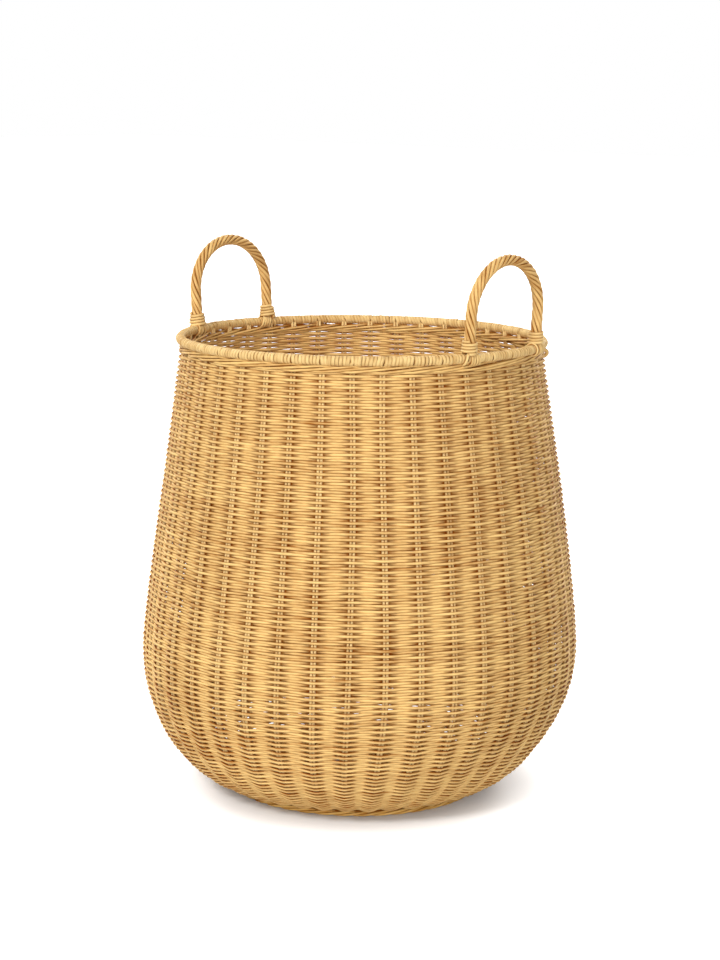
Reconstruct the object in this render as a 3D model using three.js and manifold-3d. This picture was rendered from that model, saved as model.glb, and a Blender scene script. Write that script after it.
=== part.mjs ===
// A round rattan laundry basket with two upright roped handles.
// Millimetres, +Z up. The origin is the centre of the underside, and the handles stand on +X and -X.
// Doubled rods run across the base and up the wall. The courses pass outside one pair and inside the next.

import * as THREE from 'three';
import { mergeVertices } from 'three/addons/utils/BufferGeometryUtils.js';
import Module from 'manifold-3d';

const wasm = await Module();
wasm.setup();

// Rods, strips and the gaps between pieces that touch
const rodDiameter = 2.8;
const rodsPerPair = 2;
const stripThickness = 1.8;
const seatGap = 0.3;
const courseGap = 0.6;
const bendAllowance = 0.35;

// Counts
const bundleCount = 4;
const pairsPerArm = 5;
const armRounds = 2;
const baseCourses = 2;
const wallCourses = 16;
const ringSides = 40;

// Base and foot. The shares say how far out the bundles cross, lie level and have opened to single pairs.
const baseRadius = 126;
const crossingShare = 0.302;
const bundledShare = 0.397;
const fanShare = 0.635;
const pairOverlap = 0.2;
const armMargin = 1;
const footWidth = 8;
const footHeight = 4;
const footEdge = 1.2;

// Wall and rim
const bellyOuterRadius = 225;
const bellyHeight = 150;
const rimRadius = 185;
const rimLevel = 466.4;
const rimOverhang = 3.3;
const bindingDiameter = 9.6;
const bindingThickness = 1.3;
const bindingSlotWidth = 3.2;
const hoopDiameter = 5.8;
const stakeEndGap = 0.5;
const waleRodDiameter = 2.8;
const waleRise = 2.2;

// How far the wall's curves keep their first direction, and how the neck leans in
const basePullShare = 0.475;
const bellyLowerPullShare = 0.545;
const bellyUpperPullShare = 0.193;
const neckPullShare = 0.48;
const neckLeanShare = 0.14;

// Handles
const footPair = 2;
const handleHeight = 90;
const archHeight = 52;
const ropeLegDiameter = 11.3;
const ropeTopDiameter = 10.3;
const ropeStrands = 8;
const strandDepthShare = 0.13;
const ropeTurns = 3.5;
const ropeSteps = 30;
const ropeFootGap = 0.5;
const frontLean = THREE.MathUtils.degToRad(5.2);
const backLean = THREE.MathUtils.degToRad(3.8);

// Winding and lashing at each foot of a handle
const windingRodDiameter = 2.6;
const windingTurns = 4;
const windingPitch = 3.1;
const windingFlare = 1.1;
const windingSteps = 12;
const windingSides = 5;
const lashingRodDiameter = 2.6;
const lashingStrands = 4;
const lashingTopSpacing = 2;
const lashingSpread = 3;
const lashingStandOff = 0.8;
const lashingSteps = 6;
const lashingSides = 5;
const lashingStart = THREE.MathUtils.degToRad(30);
const lashingTurn = THREE.MathUtils.degToRad(240);

// Sizes that follow from those above
const stakeWidth = rodsPerPair * rodDiameter;
const stakePairs = 2 * bundleCount * pairsPerArm;
const pairAngle = (2 * Math.PI) / stakePairs;
const halfStake = rodDiameter / 2;
const halfStrip = stripThickness / 2;
const pairSpacing = stakeWidth - pairOverlap;
const bindingRadius = bindingDiameter / 2;
const footAngle = footPair * pairAngle;
const crossingRadius = crossingShare * baseRadius;
const bundledRadius = bundledShare * baseRadius;
const fanRadius = fanShare * baseRadius;
const footOuterRadius = baseRadius + footWidth;
const lashingInside = (bindingRadius + seatGap) / Math.cos(lashingTurn / lashingSteps / 2);
const lashingReach = lashingInside + lashingRodDiameter;
const stakeEndLevel = rimLevel - stakeEndGap
  - Math.sqrt(bindingRadius ** 2 - (rimOverhang - halfStake) ** 2);

const finishes = {
  stakes: { color: 0xe0b877, roughness: 0.5, metalness: 0 },
  courses: { color: 0xd8a868, roughness: 0.55, metalness: 0 },
  binding: { color: 0xe8c58a, roughness: 0.6, metalness: 0 },
  ropes: { color: 0xdcae70, roughness: 0.5, metalness: 0 },
  windings: { color: 0xe3b97c, roughness: 0.5, metalness: 0 },
};

// How far a strip or rod of a half thickness stands off the middle of the stakes at a radius, so that it
// clears their edges on its way from the outside of one pair to the inside of the next.
function weaveOffset(radius, halfThickness) {
  const pitch = radius * pairAngle;
  const reach = halfStake + seatGap + bendAllowance + halfThickness;
  return reach / (1 - stakeWidth / pitch);
}

// The level of the base's middle surface, and the middle radius of the belly
const baseLevel = footHeight + seatGap + weaveOffset(footOuterRadius - footWidth / 2, halfStrip) + halfStrip;
const bellyRadius = bellyOuterRadius - weaveOffset(bellyOuterRadius, halfStrip) - halfStrip;

// The middle surface of base and wall: flat, then up round the belly, then leaning in to the rim
function makeProfile() {
  const neckRadius = rimRadius - rimOverhang;
  const belly = new THREE.Vector2(bellyRadius, bellyHeight);
  const neck = new THREE.Vector2(neckRadius, stakeEndLevel);
  const edge = new THREE.Vector2(baseRadius, baseLevel);
  const flare = bellyRadius - baseRadius;
  const bowl = bellyHeight - baseLevel;
  const upper = stakeEndLevel - bellyHeight;
  const path = new THREE.CurvePath();
  path.add(new THREE.LineCurve(new THREE.Vector2(0, baseLevel), edge));
  path.add(new THREE.CubicBezierCurve(
    edge,
    new THREE.Vector2(baseRadius + basePullShare * flare, baseLevel),
    new THREE.Vector2(bellyRadius, bellyHeight - bellyLowerPullShare * bowl),
    belly,
  ));
  path.add(new THREE.CubicBezierCurve(
    belly,
    new THREE.Vector2(bellyRadius, bellyHeight + bellyUpperPullShare * upper),
    new THREE.Vector2(neckRadius + neckLeanShare * neckPullShare * upper, stakeEndLevel - neckPullShare * upper),
    neck,
  ));
  return path;
}

const profile = makeProfile();
const profileLength = profile.getLength();

// Lengths along the profile, measured from the middle of the base
const waleHalfHeight = waleRise + waleRodDiameter / 2;
const waleAt = profileLength - (lashingReach - (rimLevel - stakeEndLevel) + seatGap + waleHalfHeight);
const coursesEnd = waleAt - waleHalfHeight - seatGap;
const courseHeight = (coursesEnd - baseRadius) / wallCourses;
const lastLane = (pairsPerArm - 1) / 2;
const roundsStart = Math.hypot(bundledRadius, lastLane * pairSpacing + stakeWidth / 2);
const armRoundWidth = (fanRadius - roundsStart) / armRounds;
const baseCourseWidth = (baseRadius - fanRadius) / baseCourses;

// A place on the profile: its radius and height, and the directions along it and outwards from it
function profileAt(length) {
  const share = Math.min(length / profileLength, 1);
  const place = profile.getPoint(share);
  const along = profile.getTangent(share);
  return { radius: place.x, height: place.y, along, out: new THREE.Vector2(along.y, -along.x) };
}

// A point of the wall at an azimuth, moved outwards, sideways and along the profile
function wallPoint(place, azimuth, outwards, sideways = 0, onwards = 0) {
  const radius = place.radius + outwards * place.out.x + onwards * place.along.x;
  const height = place.height + outwards * place.out.y + onwards * place.along.y;
  return new THREE.Vector3(
    radius * Math.cos(azimuth) - sideways * Math.sin(azimuth),
    radius * Math.sin(azimuth) + sideways * Math.cos(azimuth),
    height,
  );
}

function enclosedVolume(geometry) {
  const corner = [new THREE.Vector3(), new THREE.Vector3(), new THREE.Vector3()];
  const { position } = geometry.attributes;
  let volume = 0;
  for (let i = 0; i < geometry.index.count; i += 3) {
    corner.forEach((point, j) => point.fromBufferAttribute(position, geometry.index.getX(i + j)));
    volume += corner[0].dot(corner[1].cross(corner[2])) / 6;
  }
  return volume;
}

// A closed body with merged corners and its faces turned outwards
function bodyFrom(geometry) {
  geometry.deleteAttribute('normal');
  geometry.deleteAttribute('uv');
  const body = mergeVertices(geometry);
  if (enclosedVolume(body) < 0) {
    const { array } = body.index;
    for (let i = 0; i < array.length; i += 3) {
      [array[i + 1], array[i + 2]] = [array[i + 2], array[i + 1]];
    }
  }
  body.computeVertexNormals();
  return body;
}

// A body through rings of points, either joined end to end or with a cap on each end
function sweep(rings, joined) {
  const sides = rings[0].length;
  const points = rings.flat();
  const index = [];
  const links = joined ? rings.length : rings.length - 1;
  for (let i = 0; i < links; i += 1) {
    const here = i * sides;
    const next = ((i + 1) % rings.length) * sides;
    for (let j = 0; j < sides; j += 1) {
      const k = (j + 1) % sides;
      index.push(here + j, here + k, next + k, here + j, next + k, next + j);
    }
  }
  if (!joined) {
    const lastRing = rings.length - 1;
    [0, lastRing].forEach((ringIndex) => {
      const first = ringIndex * sides;
      const centre = new THREE.Vector3();
      rings[ringIndex].forEach((point) => centre.addScaledVector(point, 1 / sides));
      points.push(centre);
      for (let j = 0; j < sides; j += 1) {
        const pair = [first + j, first + ((j + 1) % sides)];
        if (ringIndex === 0) pair.reverse();
        index.push(points.length - 1, ...pair);
      }
    });
  }
  const geometry = new THREE.BufferGeometry().setFromPoints(points);
  geometry.setIndex(index);
  return bodyFrom(geometry);
}

// One body out of several that overlap
function joinBodies(bodies) {
  const solids = bodies.map((body) => new wasm.Manifold(new wasm.Mesh({
    numProp: 3,
    vertProperties: body.attributes.position.array,
    triVerts: new Uint32Array(body.index.array),
  })));
  const mesh = solids.reduce((joined, solid) => joined.add(solid)).getMesh();
  const geometry = new THREE.BufferGeometry();
  geometry.setAttribute('position', new THREE.BufferAttribute(mesh.vertProperties, 3));
  geometry.setIndex(new THREE.BufferAttribute(mesh.triVerts, 1));
  return bodyFrom(geometry);
}

// A ring turned round the Z axis from a closed outline of radii and heights
function turnedRing(outline) {
  const geometry = new THREE.LatheGeometry([...outline, outline[0]], ringSides);
  return bodyFrom(geometry.rotateX(Math.PI / 2));
}

function named(name, geometry, finish) {
  const mesh = new THREE.Mesh(geometry, new THREE.MeshStandardMaterial(finish));
  mesh.name = name;
  return mesh;
}

// Places on the wall where the stakes bend. A chord may leave the profile by less than the bend allowance.
function stakeBends() {
  const edges = Array.from({ length: wallCourses + 1 }, (_, i) => baseRadius + i * courseHeight);
  edges.push(profileLength);
  const bends = [edges[0]];
  const strays = (from, to) => edges.some((length) => {
    if (length <= from || length >= to) return false;
    const [low, high, middle] = [from, to, length].map((at) => profile.getPoint(Math.min(at / profileLength, 1)));
    const chord = high.clone().sub(low).normalize();
    return Math.abs(chord.cross(middle.sub(low))) > bendAllowance;
  });
  for (let i = 1; i < edges.length; i += 1) {
    const last = i === edges.length - 1;
    if (last || strays(bends[bends.length - 1], edges[i + 1])) bends.push(edges[i]);
  }
  return bends.map(profileAt);
}

const wallBends = stakeBends();

// Four corners of a pair of stakes, at a point with its sideways and outward directions
function stakeSection(point, sideways, outwards) {
  const corners = [[-1, -1], [1, -1], [1, 1], [-1, 1]];
  return corners.map(([across, through]) => point.clone()
    .addScaledVector(sideways, (across * stakeWidth) / 2)
    .addScaledVector(outwards, through * halfStake));
}

// A pair of stakes from the rim, under the middle of the base and up to the rim on the other side
function stakePair(bundle, lane) {
  const axis = (bundle * Math.PI) / bundleCount;
  const level = baseLevel + (bundle - (bundleCount - 1) / 2) * (rodDiameter + seatGap);
  const offset = lane * pairSpacing;
  const sideways = new THREE.Vector3(-Math.sin(axis), Math.cos(axis), 0);
  const down = new THREE.Vector3(0, 0, -1);
  const bundled = (reach, height) => stakeSection(
    new THREE.Vector3(reach * Math.cos(axis), reach * Math.sin(axis), height).addScaledVector(sideways, offset),
    sideways,
    down,
  );
  const arm = (direction) => {
    const azimuth = direction > 0 ? axis + lane * pairAngle : axis + Math.PI - lane * pairAngle;
    const across = new THREE.Vector3(-Math.sin(azimuth), Math.cos(azimuth), 0).multiplyScalar(direction);
    const flat = new THREE.Vector3(fanRadius * Math.cos(azimuth), fanRadius * Math.sin(azimuth), baseLevel);
    const wall = wallBends.map((place) => stakeSection(
      wallPoint(place, azimuth, 0),
      across,
      new THREE.Vector3(place.out.x * Math.cos(azimuth), place.out.x * Math.sin(azimuth), place.out.y),
    ));
    return [
      bundled(direction * crossingRadius, level),
      bundled(direction * bundledRadius, baseLevel),
      stakeSection(flat, across, down),
      ...wall,
    ];
  };
  return sweep([...arm(-1).reverse(), ...arm(1)], false);
}

function stakeBundle(bundle) {
  const lanes = Array.from({ length: pairsPerArm }, (_, i) => i - lastLane);
  return joinBodies(lanes.map((lane) => stakePair(bundle, lane)));
}

// A woven course between two lengths along the profile, outside one pair of stakes and inside the next
function wovenCourse(from, to, firstSide) {
  const low = profileAt(from);
  const high = profileAt(to);
  const rings = Array.from({ length: stakePairs }, (_, i) => {
    const side = i % 2 === 0 ? firstSide : -firstSide;
    const azimuth = i * pairAngle;
    const lowOffset = side * weaveOffset(low.radius, halfStrip);
    const highOffset = side * weaveOffset(high.radius, halfStrip);
    return [
      wallPoint(low, azimuth, lowOffset - halfStrip),
      wallPoint(high, azimuth, highOffset - halfStrip),
      wallPoint(high, azimuth, highOffset + halfStrip),
      wallPoint(low, azimuth, lowOffset + halfStrip),
    ];
  });
  return sweep(rings, true);
}

// A round of the base within the fans, under one arm of a bundle and over the next
function armRound(inner, outer, firstSide) {
  const arms = 2 * bundleCount;
  const sector = (2 * Math.PI) / arms;
  const halfAngleAt = (radius) => {
    const opened = THREE.MathUtils.mapLinear(radius, bundledRadius, fanRadius, 0, 1);
    const bundled = Math.asin((lastLane * pairSpacing) / bundledRadius);
    const fanned = THREE.MathUtils.lerp(bundled, lastLane * pairAngle, opened);
    return fanned + (stakeWidth / 2 + armMargin) / radius;
  };
  const offset = halfStake + seatGap + bendAllowance + halfStrip;
  const rings = [];
  for (let i = 0; i < arms; i += 1) {
    const side = i % 2 === 0 ? firstSide : -firstSide;
    [-1, 0, 1].forEach((edge) => {
      const corner = (radius, through) => {
        const azimuth = i * sector + edge * halfAngleAt(radius);
        const height = baseLevel - side * offset - through * halfStrip;
        return new THREE.Vector3(radius * Math.cos(azimuth), radius * Math.sin(azimuth), height);
      };
      rings.push([corner(inner, -1), corner(outer, -1), corner(outer, 1), corner(inner, 1)]);
    });
  }
  return sweep(rings, true);
}

// One of two rods twisted round each other along the top of the weave, with each pair of stakes between them
function waleStrand(startAngle) {
  const place = profileAt(waleAt);
  const rodRadius = waleRodDiameter / 2;
  const swing = weaveOffset(place.radius, rodRadius);
  const sides = 3;
  const rings = Array.from({ length: 2 * stakePairs }, (_, i) => {
    const turn = startAngle + (i * Math.PI) / 2;
    return Array.from({ length: sides }, (__, j) => {
      const around = (2 * Math.PI * j) / sides;
      return wallPoint(
        place,
        (i * pairAngle) / 2,
        swing * Math.cos(turn) + rodRadius * Math.cos(around),
        0,
        waleRise * Math.sin(turn) + rodRadius * Math.sin(around),
      );
    });
  });
  return sweep(rings, true);
}

function footBorder() {
  const inner = footOuterRadius - footWidth;
  const half = footHeight / 2;
  return turnedRing([
    new THREE.Vector2(inner + footEdge, 0),
    new THREE.Vector2(footOuterRadius - footEdge, 0),
    new THREE.Vector2(footOuterRadius, half),
    new THREE.Vector2(footOuterRadius - footEdge, footHeight),
    new THREE.Vector2(inner + footEdge, footHeight),
    new THREE.Vector2(inner, half),
  ]);
}

// Points of an arc round the rim's centre line, at a radius from it
function rimArc(radius, start, end, count) {
  return Array.from({ length: count }, (_, i) => {
    const angle = THREE.MathUtils.lerp(start, end, i / (count - 1));
    return new THREE.Vector2(rimRadius + radius * Math.cos(angle), rimLevel + radius * Math.sin(angle));
  });
}

function rimHoop() {
  const sides = 6;
  return turnedRing(rimArc(hoopDiameter / 2, 0, 2 * Math.PI, sides + 1).slice(0, sides));
}

// The binding as a sleeve round the hoop, open underneath
function rimBinding() {
  const corners = 7;
  const halfSlot = Math.asin(bindingSlotWidth / 2 / bindingRadius);
  const start = halfSlot - Math.PI / 2;
  const end = (3 * Math.PI) / 2 - halfSlot;
  const outside = rimArc(bindingRadius, start, end, corners);
  const inside = rimArc(bindingRadius - bindingThickness, start, end, corners);
  return turnedRing([...outside, ...inside.reverse()]);
}

// The middle line of a handle in its own upright plane, from one foot over the arch to the other
class HandleLine extends THREE.Curve {
  constructor(halfSpan, bottom, spring, height) {
    super();
    Object.assign(this, { halfSpan, bottom, spring, height });
  }

  getPoint(share, target = new THREE.Vector3()) {
    const leg = this.spring - this.bottom;
    const arch = (Math.PI * (this.halfSpan + this.height)) / 2;
    const length = share * (2 * leg + arch);
    if (length < leg) return target.set(0, -this.halfSpan, this.bottom + length);
    if (length > leg + arch) return target.set(0, this.halfSpan, this.spring - (length - leg - arch));
    const angle = (Math.PI * (length - leg)) / arch;
    return target.set(0, -this.halfSpan * Math.cos(angle), this.spring + this.height * Math.sin(angle));
  }
}

const handleLine = new HandleLine(
  rimRadius * Math.sin(footAngle),
  bindingRadius + ropeFootGap,
  handleHeight - archHeight,
  archHeight,
);

// A handle's rope: its strands stand out round it and turn to the left along it
function handleRope() {
  const sideways = new THREE.Vector3(1, 0, 0);
  const sides = 2 * ropeStrands;
  const rings = Array.from({ length: ropeSteps + 1 }, (_, i) => {
    const share = i / ropeSteps;
    const middle = handleLine.getPointAt(share);
    const across = new THREE.Vector3().crossVectors(handleLine.getTangentAt(share), sideways);
    const slimming = Math.sin(Math.PI * share);
    const radius = THREE.MathUtils.lerp(ropeLegDiameter, ropeTopDiameter, slimming) / 2;
    return Array.from({ length: sides }, (__, j) => {
      const angle = (2 * Math.PI * j) / sides - 2 * Math.PI * ropeTurns * share;
      const reach = j % 2 === 0 ? radius : radius * (1 - strandDepthShare);
      return middle.clone()
        .addScaledVector(sideways, reach * Math.cos(angle))
        .addScaledVector(across, reach * Math.sin(angle));
    });
  });
  return sweep(rings, false);
}

// The middle line of the strand wound round a foot, upwards, with its lowest turn the widest
function windingLine() {
  const rodRadius = windingRodDiameter / 2;
  const radius = ropeLegDiameter / 2 + seatGap + rodRadius;
  const steps = windingTurns * windingSteps;
  return Array.from({ length: steps + 1 }, (_, i) => {
    const angle = (2 * Math.PI * i) / windingSteps;
    const reach = radius + windingFlare * (1 - i / steps) ** 2;
    return {
      angle,
      reach,
      height: handleLine.bottom + rodRadius + (windingPitch * i) / windingSteps,
    };
  });
}

// The least gap between the strand and its own other turns
function leastWindingGap(line) {
  const points = line.map(({ angle, reach, height }) => (
    new THREE.Vector3(reach * Math.cos(angle), reach * Math.sin(angle), height)
  ));
  let least = Infinity;
  points.forEach((point, i) => {
    points.slice(i + Math.floor(windingSteps / 2)).forEach((other) => {
      least = Math.min(least, point.distanceTo(other) - windingRodDiameter);
    });
  });
  return least;
}

function footWinding() {
  const line = windingLine();
  console.log(`foot winding: least gap to itself ${leastWindingGap(line).toFixed(2)} mm`);
  const rodRadius = windingRodDiameter / 2;
  return sweep(line.map(({ angle, reach, height }) => Array.from({ length: windingSides }, (_, j) => {
    const around = (2 * Math.PI * j) / windingSides;
    const distance = reach + rodRadius * Math.cos(around);
    return new THREE.Vector3(
      distance * Math.cos(angle),
      distance * Math.sin(angle),
      height + rodRadius * Math.sin(around),
    );
  })), false);
}

// The strands that bind a foot: from outside the rim, under it on both sides of the stakes, to its inside
function footLashing(azimuth) {
  const rodRadius = lashingRodDiameter / 2;
  const reach = lashingInside + rodRadius;
  const nearest = stakeWidth / 2 + seatGap + rodRadius + lashingStandOff;
  const strands = Array.from({ length: lashingStrands }, (_, i) => i - (lashingStrands - 1) / 2);
  const bodies = strands.map((lane) => {
    const above = lane * lashingTopSpacing;
    const below = Math.sign(lane) * (nearest + (Math.abs(lane) - 1 / 2) * lashingSpread);
    const rings = Array.from({ length: lashingSteps + 1 }, (_, i) => {
      const share = i / lashingSteps;
      const angle = lashingStart - lashingTurn * share;
      const sideways = THREE.MathUtils.lerp(above, below, Math.sin(Math.PI * share));
      return Array.from({ length: lashingSides }, (__, j) => {
        const around = (2 * Math.PI * j) / lashingSides + Math.PI / 2;
        const distance = reach + rodRadius * Math.cos(around);
        const turn = azimuth + (sideways + rodRadius * Math.sin(around)) / rimRadius;
        const radius = rimRadius + distance * Math.cos(angle);
        return new THREE.Vector3(
          radius * Math.cos(turn),
          radius * Math.sin(turn),
          rimLevel + distance * Math.sin(angle),
        );
      });
    });
    return sweep(rings, false);
  });
  return joinBodies(bodies);
}

// A handle standing on the rim over two pairs of stakes, with a winding round each foot
function handleGroup(end, lean) {
  const upright = new THREE.Group();
  upright.position.set(rimRadius * Math.cos(footAngle), 0, rimLevel);
  upright.rotation.y = lean;
  upright.add(named(`handle_rope_${end}`, handleRope(), finishes.ropes));
  [['right', 1], ['left', -1]].forEach(([side, direction]) => {
    const winding = named(`handle_winding_${end}_${side}`, footWinding(), finishes.windings);
    winding.position.y = direction * handleLine.halfSpan;
    upright.add(winding);
  });
  const group = new THREE.Group();
  group.add(upright);
  [['right', 1], ['left', -1]].forEach(([side, direction]) => {
    const lashing = footLashing(direction * footAngle);
    group.add(named(`handle_lashing_${end}_${side}`, lashing, finishes.windings));
  });
  return group;
}

function baseGroup() {
  const group = new THREE.Group();
  group.add(named('foot_border', footBorder(), finishes.binding));
  for (let i = 0; i < bundleCount; i += 1) {
    group.add(named(`stake_bundle_${i + 1}`, stakeBundle(i), finishes.stakes));
  }
  const halfGap = courseGap / 2;
  for (let i = 0; i < armRounds; i += 1) {
    const from = roundsStart + i * armRoundWidth;
    const round = armRound(from + halfGap, from + armRoundWidth - halfGap, i % 2 === 0 ? 1 : -1);
    group.add(named(`base_round_${i + 1}`, round, finishes.courses));
  }
  for (let i = 0; i < baseCourses; i += 1) {
    const from = fanRadius + i * baseCourseWidth;
    const round = wovenCourse(from + halfGap, from + baseCourseWidth - halfGap, i % 2 === 0 ? 1 : -1);
    group.add(named(`base_round_${armRounds + i + 1}`, round, finishes.courses));
  }
  return group;
}

function wallGroup() {
  const group = new THREE.Group();
  const halfGap = courseGap / 2;
  for (let i = 0; i < wallCourses; i += 1) {
    const from = baseRadius + i * courseHeight;
    const firstSide = (i + baseCourses) % 2 === 0 ? 1 : -1;
    const course = wovenCourse(from + halfGap, from + courseHeight - halfGap, firstSide);
    group.add(named(`woven_course_${String(i + 1).padStart(2, '0')}`, course, finishes.courses));
  }
  group.add(named('top_wale_1', waleStrand(0), finishes.stakes));
  group.add(named('top_wale_2', waleStrand(Math.PI), finishes.stakes));
  return group;
}

function rimGroup() {
  const group = new THREE.Group();
  group.add(named('rim_hoop', rimHoop(), finishes.stakes));
  group.add(named('rim_binding', rimBinding(), finishes.binding));
  return group;
}

const basket = new THREE.Group();
basket.name = 'laundry_basket';
const backHandle = handleGroup('back', backLean);
backHandle.rotation.z = Math.PI;
basket.add(baseGroup(), wallGroup(), rimGroup(), handleGroup('front', frontLean), backHandle);

export default basket;
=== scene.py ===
"""A round rattan laundry basket with two roped handles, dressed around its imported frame.

Metres, +Z up. The origin is the centre of the underside, and the handles stand on +X and -X. Doubled round
rods run across the base and up the wall. Two long weavers climb round them, each outside one pair and inside
the next. A five-rod wale, a wound rim, and handles of laid rods lashed to the rim finish the basket.
"""

import logging
import math
from dataclasses import dataclass, field
from enum import Enum

import bpy
import numpy as np
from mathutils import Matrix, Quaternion, Vector


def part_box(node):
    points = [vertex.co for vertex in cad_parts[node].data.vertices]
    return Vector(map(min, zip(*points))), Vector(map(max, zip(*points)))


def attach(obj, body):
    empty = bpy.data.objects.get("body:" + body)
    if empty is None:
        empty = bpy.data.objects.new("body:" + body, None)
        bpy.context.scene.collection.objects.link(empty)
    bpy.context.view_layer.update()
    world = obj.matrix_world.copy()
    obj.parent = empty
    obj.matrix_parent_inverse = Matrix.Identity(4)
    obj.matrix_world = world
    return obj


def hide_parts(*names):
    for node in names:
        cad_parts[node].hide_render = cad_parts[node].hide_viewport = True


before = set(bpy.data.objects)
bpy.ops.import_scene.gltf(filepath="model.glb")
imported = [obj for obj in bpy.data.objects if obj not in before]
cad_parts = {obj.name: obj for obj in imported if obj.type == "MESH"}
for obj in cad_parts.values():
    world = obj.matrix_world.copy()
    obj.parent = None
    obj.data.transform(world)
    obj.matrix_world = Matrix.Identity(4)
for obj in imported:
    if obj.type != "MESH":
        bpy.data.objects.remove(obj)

LOG = logging.getLogger("basket")
BODY = "root"
MM = 0.001
TAU = 2 * math.pi
DOWN = np.array([0.0, 0.0, -1.0])

# How strongly red, green and blue fade in the deep tones: painted bounce light, which reddens the painted
# shade of the grooves.
PAINTED_BOUNCE_FADES = (0.5, 0.9, 1.6)
# How much the mottle and the age of a strand change its tone.
MOTTLE_DEPTH = 0.25
AGE_DEPTH = 0.12
# Fine fibres and coarse mottle: patches a metre along, share of the fineness across, detail.
FIBRE_LAYERS = ((45.0, 1.0, 3.0), (90.0, 0.22, 2.0))
# The raw noise values that become 0 and 1.
FIBRE_SPAN = (0.3, 0.7)
AGE_SPAN = (0.35, 0.65)
# How much fine detail the patches of age have.
AGE_DETAIL = 2.0
# Where a strand's fibres may start, in metres along their pattern.
FIBRE_STARTS = (0.0, 5.0)
# How many corners the section of a strand has where it is seen close.
SMOOTH_SIDES = 8
# A length that stands for none, so that nothing is divided by it.
NO_LENGTH = 1e-12

Colour = tuple[float, float, float]
Socket = bpy.types.NodeSocket
Material = bpy.types.Material
Random = np.random.Generator
# Points, and a direction or a distance at each.
Placed = tuple[np.ndarray, np.ndarray]


def unit(vectors: np.ndarray) -> np.ndarray:
    """The vectors at a length of one."""
    return vectors / np.maximum(np.linalg.norm(vectors, axis=-1, keepdims=True), NO_LENGTH)


def ease(share: np.ndarray) -> np.ndarray:
    """A share from 0 to 1 that starts and ends gently."""
    held = np.clip(share, 0, 1)
    return held * held * (3 - 2 * held)


def heading(angle: np.ndarray) -> np.ndarray:
    """The flat direction at each angle from +X, as X, Y and a Z of nought."""
    return np.stack([np.cos(angle), np.sin(angle), 0 * angle], axis=-1)


def column(value: float | np.ndarray, count: int) -> np.ndarray:
    """A number, or one number a point, as a column with a row for each point."""
    return np.broadcast_to(np.asarray(value, float), count)[:, None]


def travelled(points: np.ndarray) -> np.ndarray:
    """How far each point lies along the line through all of them."""
    return np.concatenate([[0.0], np.cumsum(np.linalg.norm(np.diff(points, axis=0), axis=1))])


def drift(rng: Random, count: int, step: int) -> np.ndarray:
    """Smooth random values with a spread of about one.

    Args:
        rng: The seeded source.
        count: How many values.
        step: How many values lie between one fresh draw and the next.

    Returns:
        The values in order.
    """
    draws = rng.normal(size=count // step + 3)
    place = np.arange(count) / step
    low = place.astype(int)
    share = ease(place - low)
    return draws[low] * (1 - share) + draws[low + 1] * share


def add_object(name: str, data: bpy.types.ID) -> bpy.types.Object:
    """Adds an object to the scene.

    Args:
        name: Its name.
        data: Its mesh, camera or lamp.

    Returns:
        The object.
    """
    made = bpy.data.objects.new(name, data)
    bpy.context.scene.collection.objects.link(made)
    return made


class Slot(Enum):
    """The record's material slots."""

    STAKE = "stake_rattan"
    WEAVE = "weave_rattan"
    WALE = "wale_rattan"
    HOOP = "hoop_rattan"
    BINDING = "binding_rattan"
    FOOT = "foot_rattan"
    ROPE = "rope_rattan"
    WINDING = "winding_rattan"


class Section(Enum):
    """The outline of a strand, as powers that bend a circle towards a rounded strip."""

    ROUND = (1.0, 1.0)
    STRIP = (0.5, 0.6)

    def outline(self, sides: int) -> np.ndarray:
        """Points round the section.

        Args:
            sides: How many corners the section has.

        Returns:
            One row a corner: its share of the half width and of the half depth.
        """
        points = heading(np.arange(sides) * TAU / sides)[:, :2]
        return np.sign(points) * np.abs(points) ** np.array(self.value)


class End(Enum):
    """Which handle: the front one stands on +X and the back one on -X."""

    FRONT = 1
    BACK = -1


class Side(Enum):
    """Which foot of a handle, seen from outside the basket."""

    RIGHT = 1
    LEFT = -1


@dataclass(frozen=True)
class Stray:
    """A value that strays as handwork does.

    Attributes:
        middle: Its mean.
        between: How far one strand's value strays from another's.
        layers: Its drifts along a strand: how far each strays, and how many points one stray lasts.
    """

    middle: float
    between: float = 0.0
    layers: tuple[tuple[float, int], ...] = ()

    def draw(self, rng: Random, count: int) -> float | np.ndarray:
        """Draws the value for one strand.

        Args:
            rng: The seeded source.
            count: How many points the strand has.

        Returns:
            The value at each point, or one value where it has no layers.
        """
        value = self.middle + (self.between * rng.normal() if self.between else 0.0)
        for spread, step in self.layers:
            value = value + spread * drift(rng, count, step)
        return value


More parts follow.
